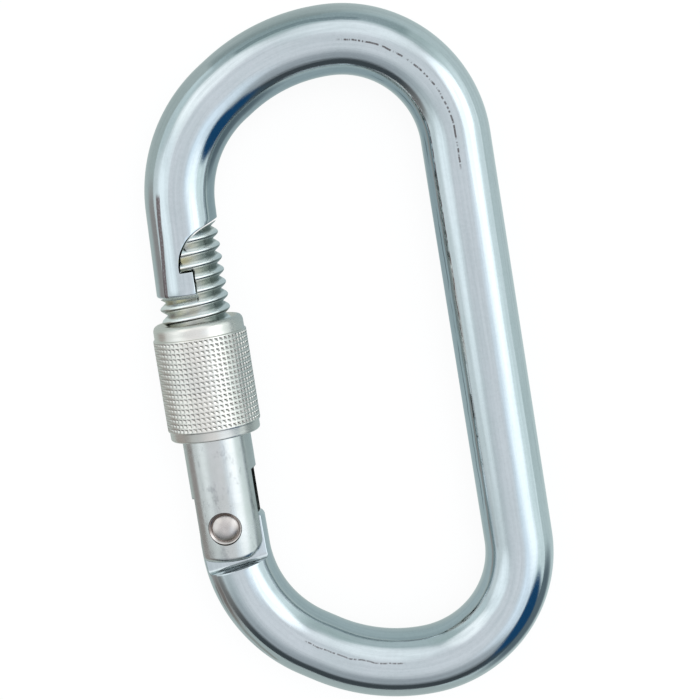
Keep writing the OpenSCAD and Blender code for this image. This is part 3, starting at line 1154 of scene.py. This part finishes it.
@dataclass
class Gate:
    """The turned gate: ears and slot below, plain barrel, threaded claw head above."""

    line: GateLine
    around: int = 96
    thread_rows: int = 16
    thread_start: float = -1.5
    thread_turns: int = 15
    thread_depth: float = 1.0
    ear_end: float = -5.6
    ear_edge: float = 1.0
    ear_corner_r: float = 3.6
    slot_w: float = 5.0
    slot_outer: float = 4.7
    slot_inner: float = 8.6
    seat_r: float = 2.7
    seat_depth_z: float = 4.0
    bore_r: float = 2.1
    bore_end: float = 21.0

    def groove(self, share: float) -> float:
        """Depth of the thread, as a share, at a share of the way from its round crest (0) to its root (1)."""
        return 0.6 * (1 - math.cos(math.pi * share / 2)) + 0.2 * (1 - math.cos(math.pi * share))

    def corner_rise(self, x: float) -> float:
        """How far the ears' lower edge rises at x from the gate's axis, where the inner corner is rounded.

        Args:
            x: Distance across from the axis.

        Returns:
            The rise in millimetres.
        """
        inset = x - (self.line.bar_r - self.ear_corner_r)
        if inset <= 0:
            return 0.0
        return self.ear_corner_r - math.sqrt(max(0.0, self.ear_corner_r**2 - inset**2))

    def skin(self) -> Object:
        """The gate's outer skin, with the true helix of its thread.

        Returns:
            A closed mesh in millimetres, not yet slotted and milled.
        """
        line, count = self.line, self.around
        low = line.rivet_y + self.ear_end
        points: list[Vector] = []

        def corner(radius: float, y: float, j: float, risen: bool = False) -> Vector:
            """Corner of a ring about the gate's axis, which may follow the ears' rounded lower edge.

            Args:
                radius: Radius of the ring.
                y: Its height.
                j: Number of the corner.
                risen: True where the ring follows that edge.

            Returns:
                The corner.
            """
            angle = 2 * math.pi * j / count
            x = radius * math.sin(angle)
            rise = self.corner_rise(x) if risen else 0.0
            return Vector((line.gate_x + x, y + rise, radius * math.cos(angle)))

        def ring(radius: float, y: float, risen: bool = False) -> list[int]:
            """Adds a ring of corners and gives their numbers."""
            points.extend(corner(radius, y, j, risen) for j in range(count))
            return list(range(len(points) - count, len(points)))

        edge_steps = 8
        rings = [ring(radius, low, True) for radius in (1.5, 3.0, 4.0)]
        for step in range(edge_steps + 1):
            across, drop = polar(self.ear_edge, 90 * step / edge_steps)
            rings.append(ring(line.bar_r - self.ear_edge + drop, low + self.ear_edge - across, True))
        rings.append(ring(line.bar_r, low + self.ear_edge + self.ear_corner_r + 0.5))
        rings.append(ring(line.bar_r, self.thread_start - 0.6))
        faces = strips(rings)
        points.append(corner(0.0, low, 0))
        faces += fan(rings[0], len(points) - 1)

        rows = self.thread_rows
        last = rows * self.thread_turns

        def thread_corner(i: int, j: int) -> Vector:
            """Corner of the thread's helix.

            Args:
                i: Row of the helix.
                j: Number of the corner.

            Returns:
                The corner.
            """
            y = self.thread_start + line.pitch * (i / rows + j / count)
            share = abs(1 - 2 * (i % rows) / rows)
            fade = smooth_step(y, -0.6, 1.4)
            return corner(line.bar_r - self.thread_depth * fade * self.groove(share), y, j)

        first = len(points)
        points.extend(thread_corner(i, j) for i in range(last + 1) for j in range(count))
        extra_first = len(points)
        points.extend(thread_corner(i, count) for i in range(last - rows + 1, last + 1))

        def at(i: int, j: int) -> int:
            """Number of that corner, where the end of one turn is the start of the next.

            Args:
                i: Row of the helix.
                j: Number of the corner.

            Returns:
                Its place in the list of corners.
            """
            if j < count:
                return first + i * count + j
            if i + rows <= last:
                return first + (i + rows) * count
            return extra_first + i - (last - rows + 1)

        faces += [
            (at(i, j), at(i, j + 1), at(i + 1, j + 1), at(i + 1, j))
            for i in range(last) for j in range(count)
        ]
        below = rings[-1]
        faces += [(below[j], below[(j + 1) % count], at(0, j + 1), at(0, j)) for j in range(count)]
        faces += [(below[0], at(i, 0), at(i + 1, 0)) for i in range(rows)]
        top = ring(1.0, self.thread_start + line.pitch * (self.thread_turns + 1) + 1)
        faces += [(at(last, j), at(last, j + 1), top[(j + 1) % count], top[j]) for j in range(count)]
        faces += [(top[0], at(i, count), at(i + 1, count)) for i in range(last - rows, last)]
        points.append(sum((points[n] for n in top), Vector()) / count)
        faces += fan(top, len(points) - 1)
        return MeshShop.from_faces("screw_gate", points, faces)

    def build(self) -> Object:
        """Makes the gate.

        Returns:
            The gate as one closed mesh in millimetres.
        """
        line = self.line
        gate = self.skin()
        claw = line.claw_outline(-line.claw_gap)
        step_y = line.nose_y - line.nose_gap
        claw[0] = (claw[0][0], step_y)
        head = [*claw[:-1], (claw[-1][0], -40), (-9, -40), (-9, step_y)]
        claw_block = MeshShop.prism("claw", line.upright(head), -PAST_BAR, PAST_BAR)
        MeshShop.cut(gate, claw_block, Cut.KEEP_COMMON)
        half = line.bar_r + 1
        rise = (self.slot_inner - self.slot_outer) / (2 * line.bar_r)
        slot = [
            (-half, self.ear_end - 1), (half, self.ear_end - 1),
            (half, self.slot_inner + rise), (-half, self.slot_outer - rise),
        ]
        slot = line.upright([(x, y + line.rivet_y) for x, y in slot])
        MeshShop.cut(gate, MeshShop.prism("slot", slot, -self.slot_w / 2, self.slot_w / 2), Cut.AWAY)
        for side in (-1, 1):
            seat = arc(line.hinge, self.seat_r, 0, 355, 71)
            low, high = sorted((side * self.seat_depth_z, side * PAST_TANG))
            MeshShop.cut(gate, MeshShop.prism("seat", seat, low, high), Cut.AWAY)
        bore_outline = [(0, 0), (self.bore_r, 0), (self.bore_r, self.bore_end), (0, self.bore_end)]
        bore = MeshShop.turned(
            "bore", bore_outline, 32,
            lambda r, h, a: Vector((line.gate_x + r * math.sin(a), line.rivet_y + h, r * math.cos(a))),
        )
        MeshShop.cut(gate, bore, Cut.AWAY)
        MeshShop.tidy(gate, MERGE)
        gate.data.transform(line.lean_matrix())
        return gate


@dataclass
class LockingSleeve:
    """The screw sleeve: smooth bands, a bore and a knurled grip of square pits."""

    line: GateLine
    upper_band: float = 2.2
    bore_gap: float = 0.25
    columns: int = 58
    rows: int = 18
    pit_depth: float = 0.22
    land: float = 0.24
    peak: Flat = (0.58, 0.66)
    band_drop: float = 0.25
    rim_slope: float = 0.7

    def band(self) -> tuple[float, float]:
        """Lowest and highest y of the knurl.

        Returns:
            The two heights in millimetres.
        """
        line = self.line
        low = line.sleeve_top_y - line.sleeve_l + line.lower_band + line.knurl_step
        return low, line.sleeve_top_y - self.upper_band - line.knurl_step

    def place(self, radius: float, y: float, angle: float) -> Vector:
        """Point at a radius, height and angle about the gate's axis."""
        return Vector((radius * math.sin(angle), y, radius * math.cos(angle)))

    def edge(self) -> float:
        """Half a land's width, as a share of a cell."""
        low, high = self.band()
        return self.land / 2 / ((high - low) / self.rows)

    def stops(self, peak: float) -> list[float]:
        """Places of a cell's corners across it, when its pit is deepest at the place peak.

        Args:
            peak: Deepest place, as a share of the cell.

        Returns:
            The places in order, as shares of the cell.
        """
        edge = self.edge()
        low, high = edge + (peak - edge) * 0.55, 1 - edge - (1 - edge - peak) * 0.55
        return [0.0, edge, low, peak, high, 1 - edge, 1.0]

    def fall(self, place: float, peak: float) -> float:
        """Depth of the pit at a place, as a share, counted along one direction.

        Args:
            place: Place in the cell.
            peak: Deepest place.

        Returns:
            The share of the full depth.
        """
        edge = self.edge()
        if place <= peak:
            return max(0.0, (place - edge) / (peak - edge))
        return max(0.0, (1 - edge - place) / (1 - edge - peak))

    def cell(self) -> Object:
        """One pit of the knurl with its lands, curved to the sleeve and centred on y = 0.

        Returns:
            A small open patch of mesh in millimetres.
        """
        low, high = self.band()
        height = (high - low) / self.rows
        span = 2 * math.pi / self.columns
        across, up = self.stops(self.peak[0]), self.stops(self.peak[1])
        points = []
        for v in up:
            for u in across:
                depth = min(self.fall(u, self.peak[0]), self.fall(v, self.peak[1]))
                radius = self.line.sleeve_r - self.pit_depth * depth
                points.append(tuple(self.place(radius, (v - 0.5) * height, (u - 0.5) * span)))
        count = len(across)
        firsts = [i * count + j for i in range(count - 1) for j in range(count - 1)]
        mesh = bpy.data.meshes.new("knurl_cell")
        mesh.from_pydata(points, [], [(a, a + 1, a + count + 1, a + count) for a in firsts])
        return link("knurl_cell", mesh)

    def knurl_tree(self) -> bpy.types.GeometryNodeTree:
        """Node tree that sets the cell round the sleeve and up it.

        Returns:
            The tree, with its sizes as named inputs.
        """
        tree = bpy.data.node_groups.new("knurl_rows", "GeometryNodeTree")
        for name, way, kind in (
            ("Geometry", "INPUT", "Geometry"), ("Columns", "INPUT", "Int"), ("Rows", "INPUT", "Int"),
            ("Row pitch", "INPUT", "Float"), ("Lowest row", "INPUT", "Float"),
            ("Finish", "INPUT", "Material"), ("Geometry", "OUTPUT", "Geometry"),
        ):
            tree.interface.new_socket(name, in_out=way, socket_type=f"NodeSocket{kind}")
        bench = NodeBench(tree)
        given = bench.node("NodeGroupInput").outputs
        number = bench.node("GeometryNodeInputIndex").outputs[0]
        total = bench.times(given["Columns"], given["Rows"])
        column = bench.maths("MODULO", number, given["Columns"])
        row = bench.maths("FLOOR", bench.maths("DIVIDE", number, given["Columns"]))
        turn = bench.times(bench.maths("DIVIDE", column, given["Columns"]), 2 * math.pi)
        height = bench.maths("MULTIPLY_ADD", row, given["Row pitch"], given["Lowest row"])
        position = bench.node("ShaderNodeCombineXYZ", {"Y": height}).outputs[0]
        rotation = bench.node("ShaderNodeCombineXYZ", {"Y": turn}).outputs[0]
        dots = bench.node("GeometryNodePoints", {"Count": total, "Position": position}).outputs[0]
        inputs = {"Points": dots, "Instance": given["Geometry"], "Rotation": rotation}
        placed = bench.node("GeometryNodeInstanceOnPoints", inputs).outputs[0]
        real = bench.node("GeometryNodeRealizeInstances", {0: placed}).outputs[0]
        inputs = {"Geometry": real, "Material": given["Finish"]}
        bench.node("NodeGroupOutput", {0: bench.node("GeometryNodeSetMaterial", inputs).outputs[0]})
        return tree

    def knurl(self, finish: Material) -> Object:
        """The knurled skin as a plain mesh about the gate's axis.

        Args:
            finish: Material of the sleeve.

        Returns:
            The knurl, open at its two ends.
        """
        low, high = self.band()
        cell, pitch = self.cell(), (high - low) / self.rows
        modifier = cell.modifiers.new("knurl", "NODES")
        modifier.node_group = self.knurl_tree()
        sizes = {
            "Columns": self.columns, "Rows": self.rows, "Row pitch": pitch, "Lowest row": low + pitch / 2,
            "Finish": finish,
        }
        for socket in modifier.node_group.interface.items_tree:
            if socket.item_type == "SOCKET" and socket.in_out == "INPUT" and socket.name in sizes:
                modifier[socket.identifier] = sizes[socket.name]
        MeshShop.apply(cell)
        return cell

    def outline(self) -> list[Flat]:
        """Outline of the turned sleeve from the knurl's upper end over the bore to its lower end.

        Returns:
            Corners of radius and y.
        """
        line, top, step = self.line, self.line.sleeve_top_y, self.line.knurl_step
        low, full = top - line.sleeve_l, line.sleeve_r
        band_r = full - self.band_drop
        bore = line.bar_r + self.bore_gap
        slope = band_r - bore - self.rim_slope
        rim = [(band_r - slope + polar(slope, a)[0], top - 1 + polar(1.0, a)[1]) for a in range(0, 91, 9)]
        knurl_low, knurl_high = self.band()
        return [
            (full, knurl_high), (full - 0.06, knurl_high + 0.12),
            (band_r + 0.02, knurl_high + step), (band_r, knurl_high + step + 0.05),
            (band_r, knurl_high + 0.9), *rim,
            (bore + self.rim_slope, top), (bore, top - self.rim_slope), (bore, low + 9), (bore, low + 0.5),
            (bore + 0.5, low), (band_r - 0.35, low), (band_r - 0.2, low + 0.04), (band_r - 0.06, low + 0.17),
            (band_r, low + 0.35), (band_r, knurl_low - step - 0.05),
            (band_r + 0.02, knurl_low - step), (full - 0.06, knurl_low - 0.12), (full, knurl_low),
        ]

    def build(self, finish: Material) -> Object:
        """Makes the sleeve.

        Args:
            finish: Material of the sleeve.

        Returns:
            The sleeve as one closed mesh in millimetres.
        """
        sleeve = self.knurl(finish)
        sleeve.name = "knurled_sleeve"
        span = 2 * math.pi / self.columns
        stops = self.stops(self.peak[0])[:-1]
        angles = [(c + s - 0.5) * span for c in range(self.columns) for s in stops]
        with opened(sleeve) as work:
            rings = [[work.verts.new(self.place(r, y, a)) for a in angles] for r, y in self.outline()]
            for corners in strips(rings):
                work.faces.new(corners)
            bmesh.ops.remove_doubles(work, verts=work.verts, dist=MERGE)
            bmesh.ops.recalc_face_normals(work, faces=work.faces)
        sleeve.data.transform(self.line.lean_matrix() @ Matrix.Translation((self.line.gate_x, 0, 0)))
        sleeve.data.materials.clear()
        sleeve.data.materials.append(finish)
        return sleeve


@dataclass
class HingeRivet:
    """The peened rivet: a shank and a domed head with a turned groove at each end."""

    line: GateLine
    shank_r: float = 2.1
    head_r: float = 2.64
    dome_r: float = 2.17
    seat_z: float = 4.0
    top_z: float = 5.3
    dome_off: float = 0.06
    dome_fall: float = 0.66
    steps: int = 96

    def head(self) -> list[Flat]:
        """Outline of one head, from the shank to the axis.

        Returns:
            Corners of radius and height.
        """
        top, rim, edge = self.top_z, self.head_r, self.dome_r
        shares = (1.0, 0.95, 0.88, 0.80, 0.70, 0.60, 0.50, 0.40, 0.30, 0.22)
        dome = [(share * edge, top - 0.05 - self.dome_fall * share**2.3) for share in shares]
        return [
            (self.shank_r, self.seat_z), (rim, self.seat_z), (rim, top - 0.52), (rim - 0.02, top - 0.45),
            (rim - 0.06, top - 0.41), (rim - 0.11, top - 0.42), (edge + 0.05, top - 0.74),
            (edge + 0.01, top - 0.78), *dome,
            (0.34, top - 0.072), (0.26, top - 0.09), (0.0, top - 0.10),
        ]

    def build(self) -> Object:
        """Makes the rivet.

        Returns:
            The rivet as one closed mesh in millimetres.
        """
        head = self.head()
        outline = head + [(r, -z) for r, z in reversed(head)]
        hinge = self.line.hinge

        def place(r: float, z: float, a: float) -> Vector:
            """Point of the rivet, whose domes sit a little off its axis.

            Args:
                r: Radius.
                z: Height.
                a: Angle in radians.

            Returns:
                The point.
            """
            on_head = smooth_step(abs(z), self.seat_z, self.seat_z + 0.2)
            off = self.dome_off * (1 - smooth_step(r, self.dome_r, self.head_r)) * on_head
            return Vector((hinge[0] + r * math.cos(a) + off, hinge[1] + r * math.sin(a) - off, z))

        return MeshShop.turned("peened_rivet", outline, self.steps, place)


@dataclass(frozen=True)
class Patch:
    """A patch of the room: its direction off the camera's axis, its inner and outer reach, its colour.

    The angles are in degrees; across is the turn in the picture and tilt the angle off the axis.
    """

    across: float
    tilt: float
    inner: float
    outer: float
    colour: Triple


LIGHTS = (
    Patch(-165, 76, 12, 46, (0.87, 0.95, 0.97)),
    Patch(150, 84, 8, 26, (0.80, 0.94, 0.96)),
    Patch(5, 80, 16, 50, (1.04, 1.19, 1.21)),
    Patch(-90, 74, 24, 62, (0.46, 0.50, 0.54)),
    Patch(90, 64, 6, 26, (0.60, 0.71, 0.73)),
    Patch(0, 0, 26, 60, (0.96, 0.99, 1.04)),
    Patch(150, 44, 4, 24, (1.50, 1.55, 1.57)),
    Patch(82, 34, 8, 28, (1.24, 1.30, 1.34)),
    Patch(-172, 53, 8, 24, (1.28, 1.38, 1.43)),
    Patch(-36, 42, 6, 26, (1.12, 1.26, 1.40)),
    Patch(-11, 45, 6, 23, (1.58, 1.68, 1.76)),
    Patch(14, 46, 9, 25, (1.95, 2.05, 2.12)),
)
LOW_SHADE = Patch(-136, 91, 9, 24, (0.27, 0.265, 0.26))
DARK_SIDE = (
    Patch(-44, 90, 8, 24, (0.07, 0.11, 0.14)),
    Patch(-40, 77, 13, 21, (0.013, 0.078, 0.19)),
)


@dataclass(frozen=True)
class Studio:
    """Floor, white ground, soft light and the camera at the photograph's angle."""

    camera_place: Triple = (0.00995, 0.04227, 0.28877)
    lens_mm: float = 94.2
    sensor_mm: float = 36.0
    tilt_x: float = 7.97
    tilt_y: float = -1.61
    roll: float = 9.29
    floor_z: float = -0.00748
    floor_size: float = 1.2
    floor_colour: Triple = (0.80, 0.81, 0.81)
    sky: Triple = (0.56, 0.68, 0.68)
    lamp_place: Triple = (0.15, 0.2, 0.8)
    lamp_size: float = 0.5
    lamp_watts: float = 2.0

    def axes(self) -> Matrix:
        """Rows are the camera's right, up and back directions in the object's frame.

        Returns:
            The three rows.
        """
        tilt_x = Matrix.Rotation(math.radians(self.tilt_x), 3, "X")
        tilt_y = Matrix.Rotation(math.radians(self.tilt_y), 3, "Y")
        roll = Matrix.Rotation(math.radians(self.roll), 3, "Z")
        return roll @ tilt_y @ tilt_x

    def aim(self, across: float, tilt: float) -> Vector:
        """Direction tilt degrees off the camera's axis, at the angle across in the picture.

        Args:
            across: Angle in the picture, in degrees.
            tilt: Angle off the camera's axis, in degrees.

        Returns:
            The direction in the object's frame.
        """
        right, up, back = (Vector(row) for row in self.axes())
        sideways = right * math.cos(math.radians(across)) + up * math.sin(math.radians(across))
        return back * math.cos(math.radians(tilt)) + sideways * math.sin(math.radians(tilt))

    def camera(self) -> None:
        """Sets the camera where the photograph was taken from."""
        data = bpy.data.cameras.new("photo_camera")
        data.lens = self.lens_mm
        data.sensor_width = self.sensor_mm
        data.clip_start = 0.01
        data.clip_end = 10
        camera = link("photo_camera", data)
        camera.matrix_world = Matrix.Translation(self.camera_place) @ self.axes().transposed().to_4x4()
        bpy.context.scene.camera = camera

    def floor(self) -> None:
        """Pale floor that shows white to the camera and keeps the shadow; to polished metal it shows a teal
        glow with painted shade.
        """
        half = self.floor_size
        mesh = bpy.data.meshes.new("studio_floor")
        corners = [(-half, -half), (half, -half), (half, half), (-half, half)]
        mesh.from_pydata([(x, y, self.floor_z) for x, y in corners], [], [(0, 1, 2, 3)])
        floor = link("studio_floor", mesh)
        material = bpy.data.materials.new("pale_floor")
        bench = NodeBench.over(material)
        rays = bench.node("ShaderNodeLightPath").outputs
        place = bench.node("ShaderNodeTexCoord").outputs["Object"]
        across, height, _ = bench.split(place)
        reach = bench.vectors("LENGTH", bench.stretched(place, (1 / 0.021, 1 / 0.047, 0.0)))
        incoming = bench.node("ShaderNodeNewGeometry").outputs["Incoming"]

        def seen_along(across: float, tilt: float, inner_angle: float, outer_angle: float) -> Socket:
            """1 for rays that come down near a direction, 0 away from it."""
            near = bench.vectors("DOT_PRODUCT", incoming, tuple(-self.aim(across, tilt)))
            return bench.ramp(near, math.cos(math.radians(outer_angle)), math.cos(math.radians(inner_angle)))

        # Colour the floor shows to polished metal: darker to the left of x = 0, with painted shade along two
        # directions of view and inside the oval.
        floor_glow_and_painted_shade = bench.mix(bench.ramp(across, 0.0, 0.05), (0.54, 0.62, 0.61), (0.68, 0.80, 0.81))
        floor_glow_and_painted_shade = bench.mix(seen_along(-157, 103, 14, 30), floor_glow_and_painted_shade, (0.40, 0.38, 0.37))
        inner = bench.mix(bench.ramp(height, -0.035, 0.04), (0.50, 0.61, 0.63), (0.38, 0.48, 0.51))
        floor_glow_and_painted_shade = bench.mix(bench.ramp(reach, 1.05, 0.75), floor_glow_and_painted_shade, inner)
        floor_glow_and_painted_shade = bench.mix(seen_along(-35, 108, 14, 32), floor_glow_and_painted_shade, (0.15, 0.20, 0.23))
        matte = bench.node("ShaderNodeBsdfDiffuse", {"Color": (*self.floor_colour, 1.0)})
        glow = bench.node("ShaderNodeEmission", {"Color": (1.0, 1.0, 1.0, 1.0), "Strength": 1.02})
        dim = bench.node("ShaderNodeEmission", {"Color": floor_glow_and_painted_shade, "Strength": 1.0})
        seen = bench.maths("MAXIMUM", rays["Is Glossy Ray"], rays["Is Transmission Ray"])

        def blend(share: Value, first: Node, second: Node) -> Node:
            """Shader between two shaders."""
            return bench.node("ShaderNodeMixShader", {0: share, 1: first.outputs[0], 2: second.outputs[0]})

        plain = blend(rays["Is Camera Ray"], matte, blend(0.90, matte, glow))
        bench.node("ShaderNodeOutputMaterial", {"Surface": blend(seen, plain, dim).outputs[0]})
        mesh.materials.append(material)

    def surroundings(self) -> None:
        """Soft studio round the object: pale light above, a dark side of the room below the picture."""
        world = bpy.data.worlds.new("studio")
        bpy.context.scene.world = world
        bench = NodeBench.over(world)
        direction = bench.node("ShaderNodeTexCoord").outputs["Generated"]

        def towards(across: float, tilt: float) -> Socket:
            """Cosine of the angle to the direction tilt degrees off the camera's axis, at angle across."""
            return bench.vectors("DOT_PRODUCT", direction, tuple(self.aim(across, tilt)))

        def painted(colour: Shade, patches: Iterable[Patch]) -> Shade:
            """The colour with soft round patches over it.

            Args:
                colour: Colour so far.
                patches: Patches in the order of painting.

            Returns:
                The colour with the patches.
            """
            for patch in patches:
                outer, inner = (math.cos(math.radians(a)) for a in (patch.outer, patch.inner))
                share = bench.ramp(towards(patch.across, patch.tilt), outer, inner)
                colour = bench.mix(share, colour, patch.colour)
            return colour

        def ring(inner: float, outer: float, soft: float) -> Socket:
            """1 between two angles from the camera's axis, with soft edges.

            Args:
                inner: First angle in degrees.
                outer: Second angle in degrees.
                soft: Width of the soft edges.

            Returns:
                The share.
            """
            angles = (outer + soft, outer, inner - soft, inner)
            low_soft, low, high_soft, high = (math.cos(math.radians(a)) for a in angles)
            tilt = towards(0, 0)
            return bench.times(bench.ramp(tilt, low_soft, low), bench.ramp(tilt, high_soft, high))

        colour = painted(self.sky, LIGHTS)
        drift = bench.ramp(bench.noise(direction, 3.2, 3.0, 0.55), 0.44, 0.66, 0.0, 0.26)
        colour = bench.mix(drift, colour, (0.60, 0.67, 0.71))
        colour = painted(colour, (LOW_SHADE,))
        below = bench.times(bench.ramp(towards(-90, 90), 0.58, 0.84), ring(79, 93, 12))
        colour = painted(bench.mix(below, colour, (0.070, 0.085, 0.095)), DARK_SIDE)
        rays = bench.node("ShaderNodeLightPath").outputs
        colour = bench.mix(rays["Is Camera Ray"], colour, (1.0, 1.0, 1.0))
        light = bench.node("ShaderNodeBackground", {"Color": colour, "Strength": 1.0})
        bench.node("ShaderNodeOutputWorld", {"Surface": light.outputs[0]})

    def lamps(self) -> None:
        """One soft lamp overhead, so that the object keeps a faint shadow."""
        data = bpy.data.lights.new("overhead_softbox", "AREA")
        data.shape = "DISK"
        data.size = self.lamp_size
        data.energy = self.lamp_watts
        lamp = link("overhead_softbox", data)
        turn = Vector(self.lamp_place).to_track_quat("Z", "Y").to_matrix().to_4x4()
        lamp.matrix_world = Matrix.Translation(self.lamp_place) @ turn
        lamp.visible_glossy = False

    def build(self) -> None:
        """Makes the camera, floor, surroundings and lamp."""
        bpy.context.scene.view_settings.view_transform = "Standard"
        self.camera()
        self.floor()
        self.surroundings()
        self.lamps()


def dress_node(name: str, finish: Material) -> None:
    """Gives a frame node that stays in view a finish of its own.

    Args:
        name: The node's name in the frame.
        finish: Its material.
    """
    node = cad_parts[name]
    if not node.data.materials:
        node.data.materials.append(finish)
    for slot in node.material_slots:
        slot.material = finish


def main() -> None:
    """Builds every piece in order, then the studio."""
    logging.basicConfig(level=logging.INFO, format="%(message)s")
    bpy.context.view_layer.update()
    line = GateLine()
    axis = {"hinge": line.hinge, "axis_x": line.gate_x, "lean": line.gate_lean}
    band_low, band_high = LockingSleeve(line).band()
    oval_bar = OvalBar(line)
    milled_from = oval_bar.centre_line()[-1].length - oval_bar.milled_l
    zinc = replace(ZINC_PLATE, milled_from=milled_from).build()
    satin = replace(SATIN_STEEL, **axis).build()
    grip = replace(SLEEVE_STEEL, low=band_low, high=band_high, **axis).build()
    rivet_finish = replace(RIVET_STEEL, hinge=line.hinge).build()
    wire = SPRING_WIRE.build()
    Studio().build()

    bar = oval_bar.build()
    bar.data.materials.append(zinc)
    MeshShop.finish(bar, "oval_body", ("body",), "zinc_plated_steel")

    gate = Gate(line).build()
    gate.data.materials.append(satin)
    MeshShop.finish(gate, "gate", ("gate",), "satin_steel")

    sleeve = LockingSleeve(line).build(grip)
    MeshShop.finish(sleeve, "sleeve", ("locking_sleeve",), "sleeve_steel", 28)

    rivet = HingeRivet(line).build()
    rivet.data.materials.append(rivet_finish)
    MeshShop.finish(rivet, "gate", ("hinge_rivet",), "rivet_steel", 60)

    dress_node("spring_plunger", rivet_finish)
    dress_node("closing_spring", wire)


if __name__ == "__main__":
    main()
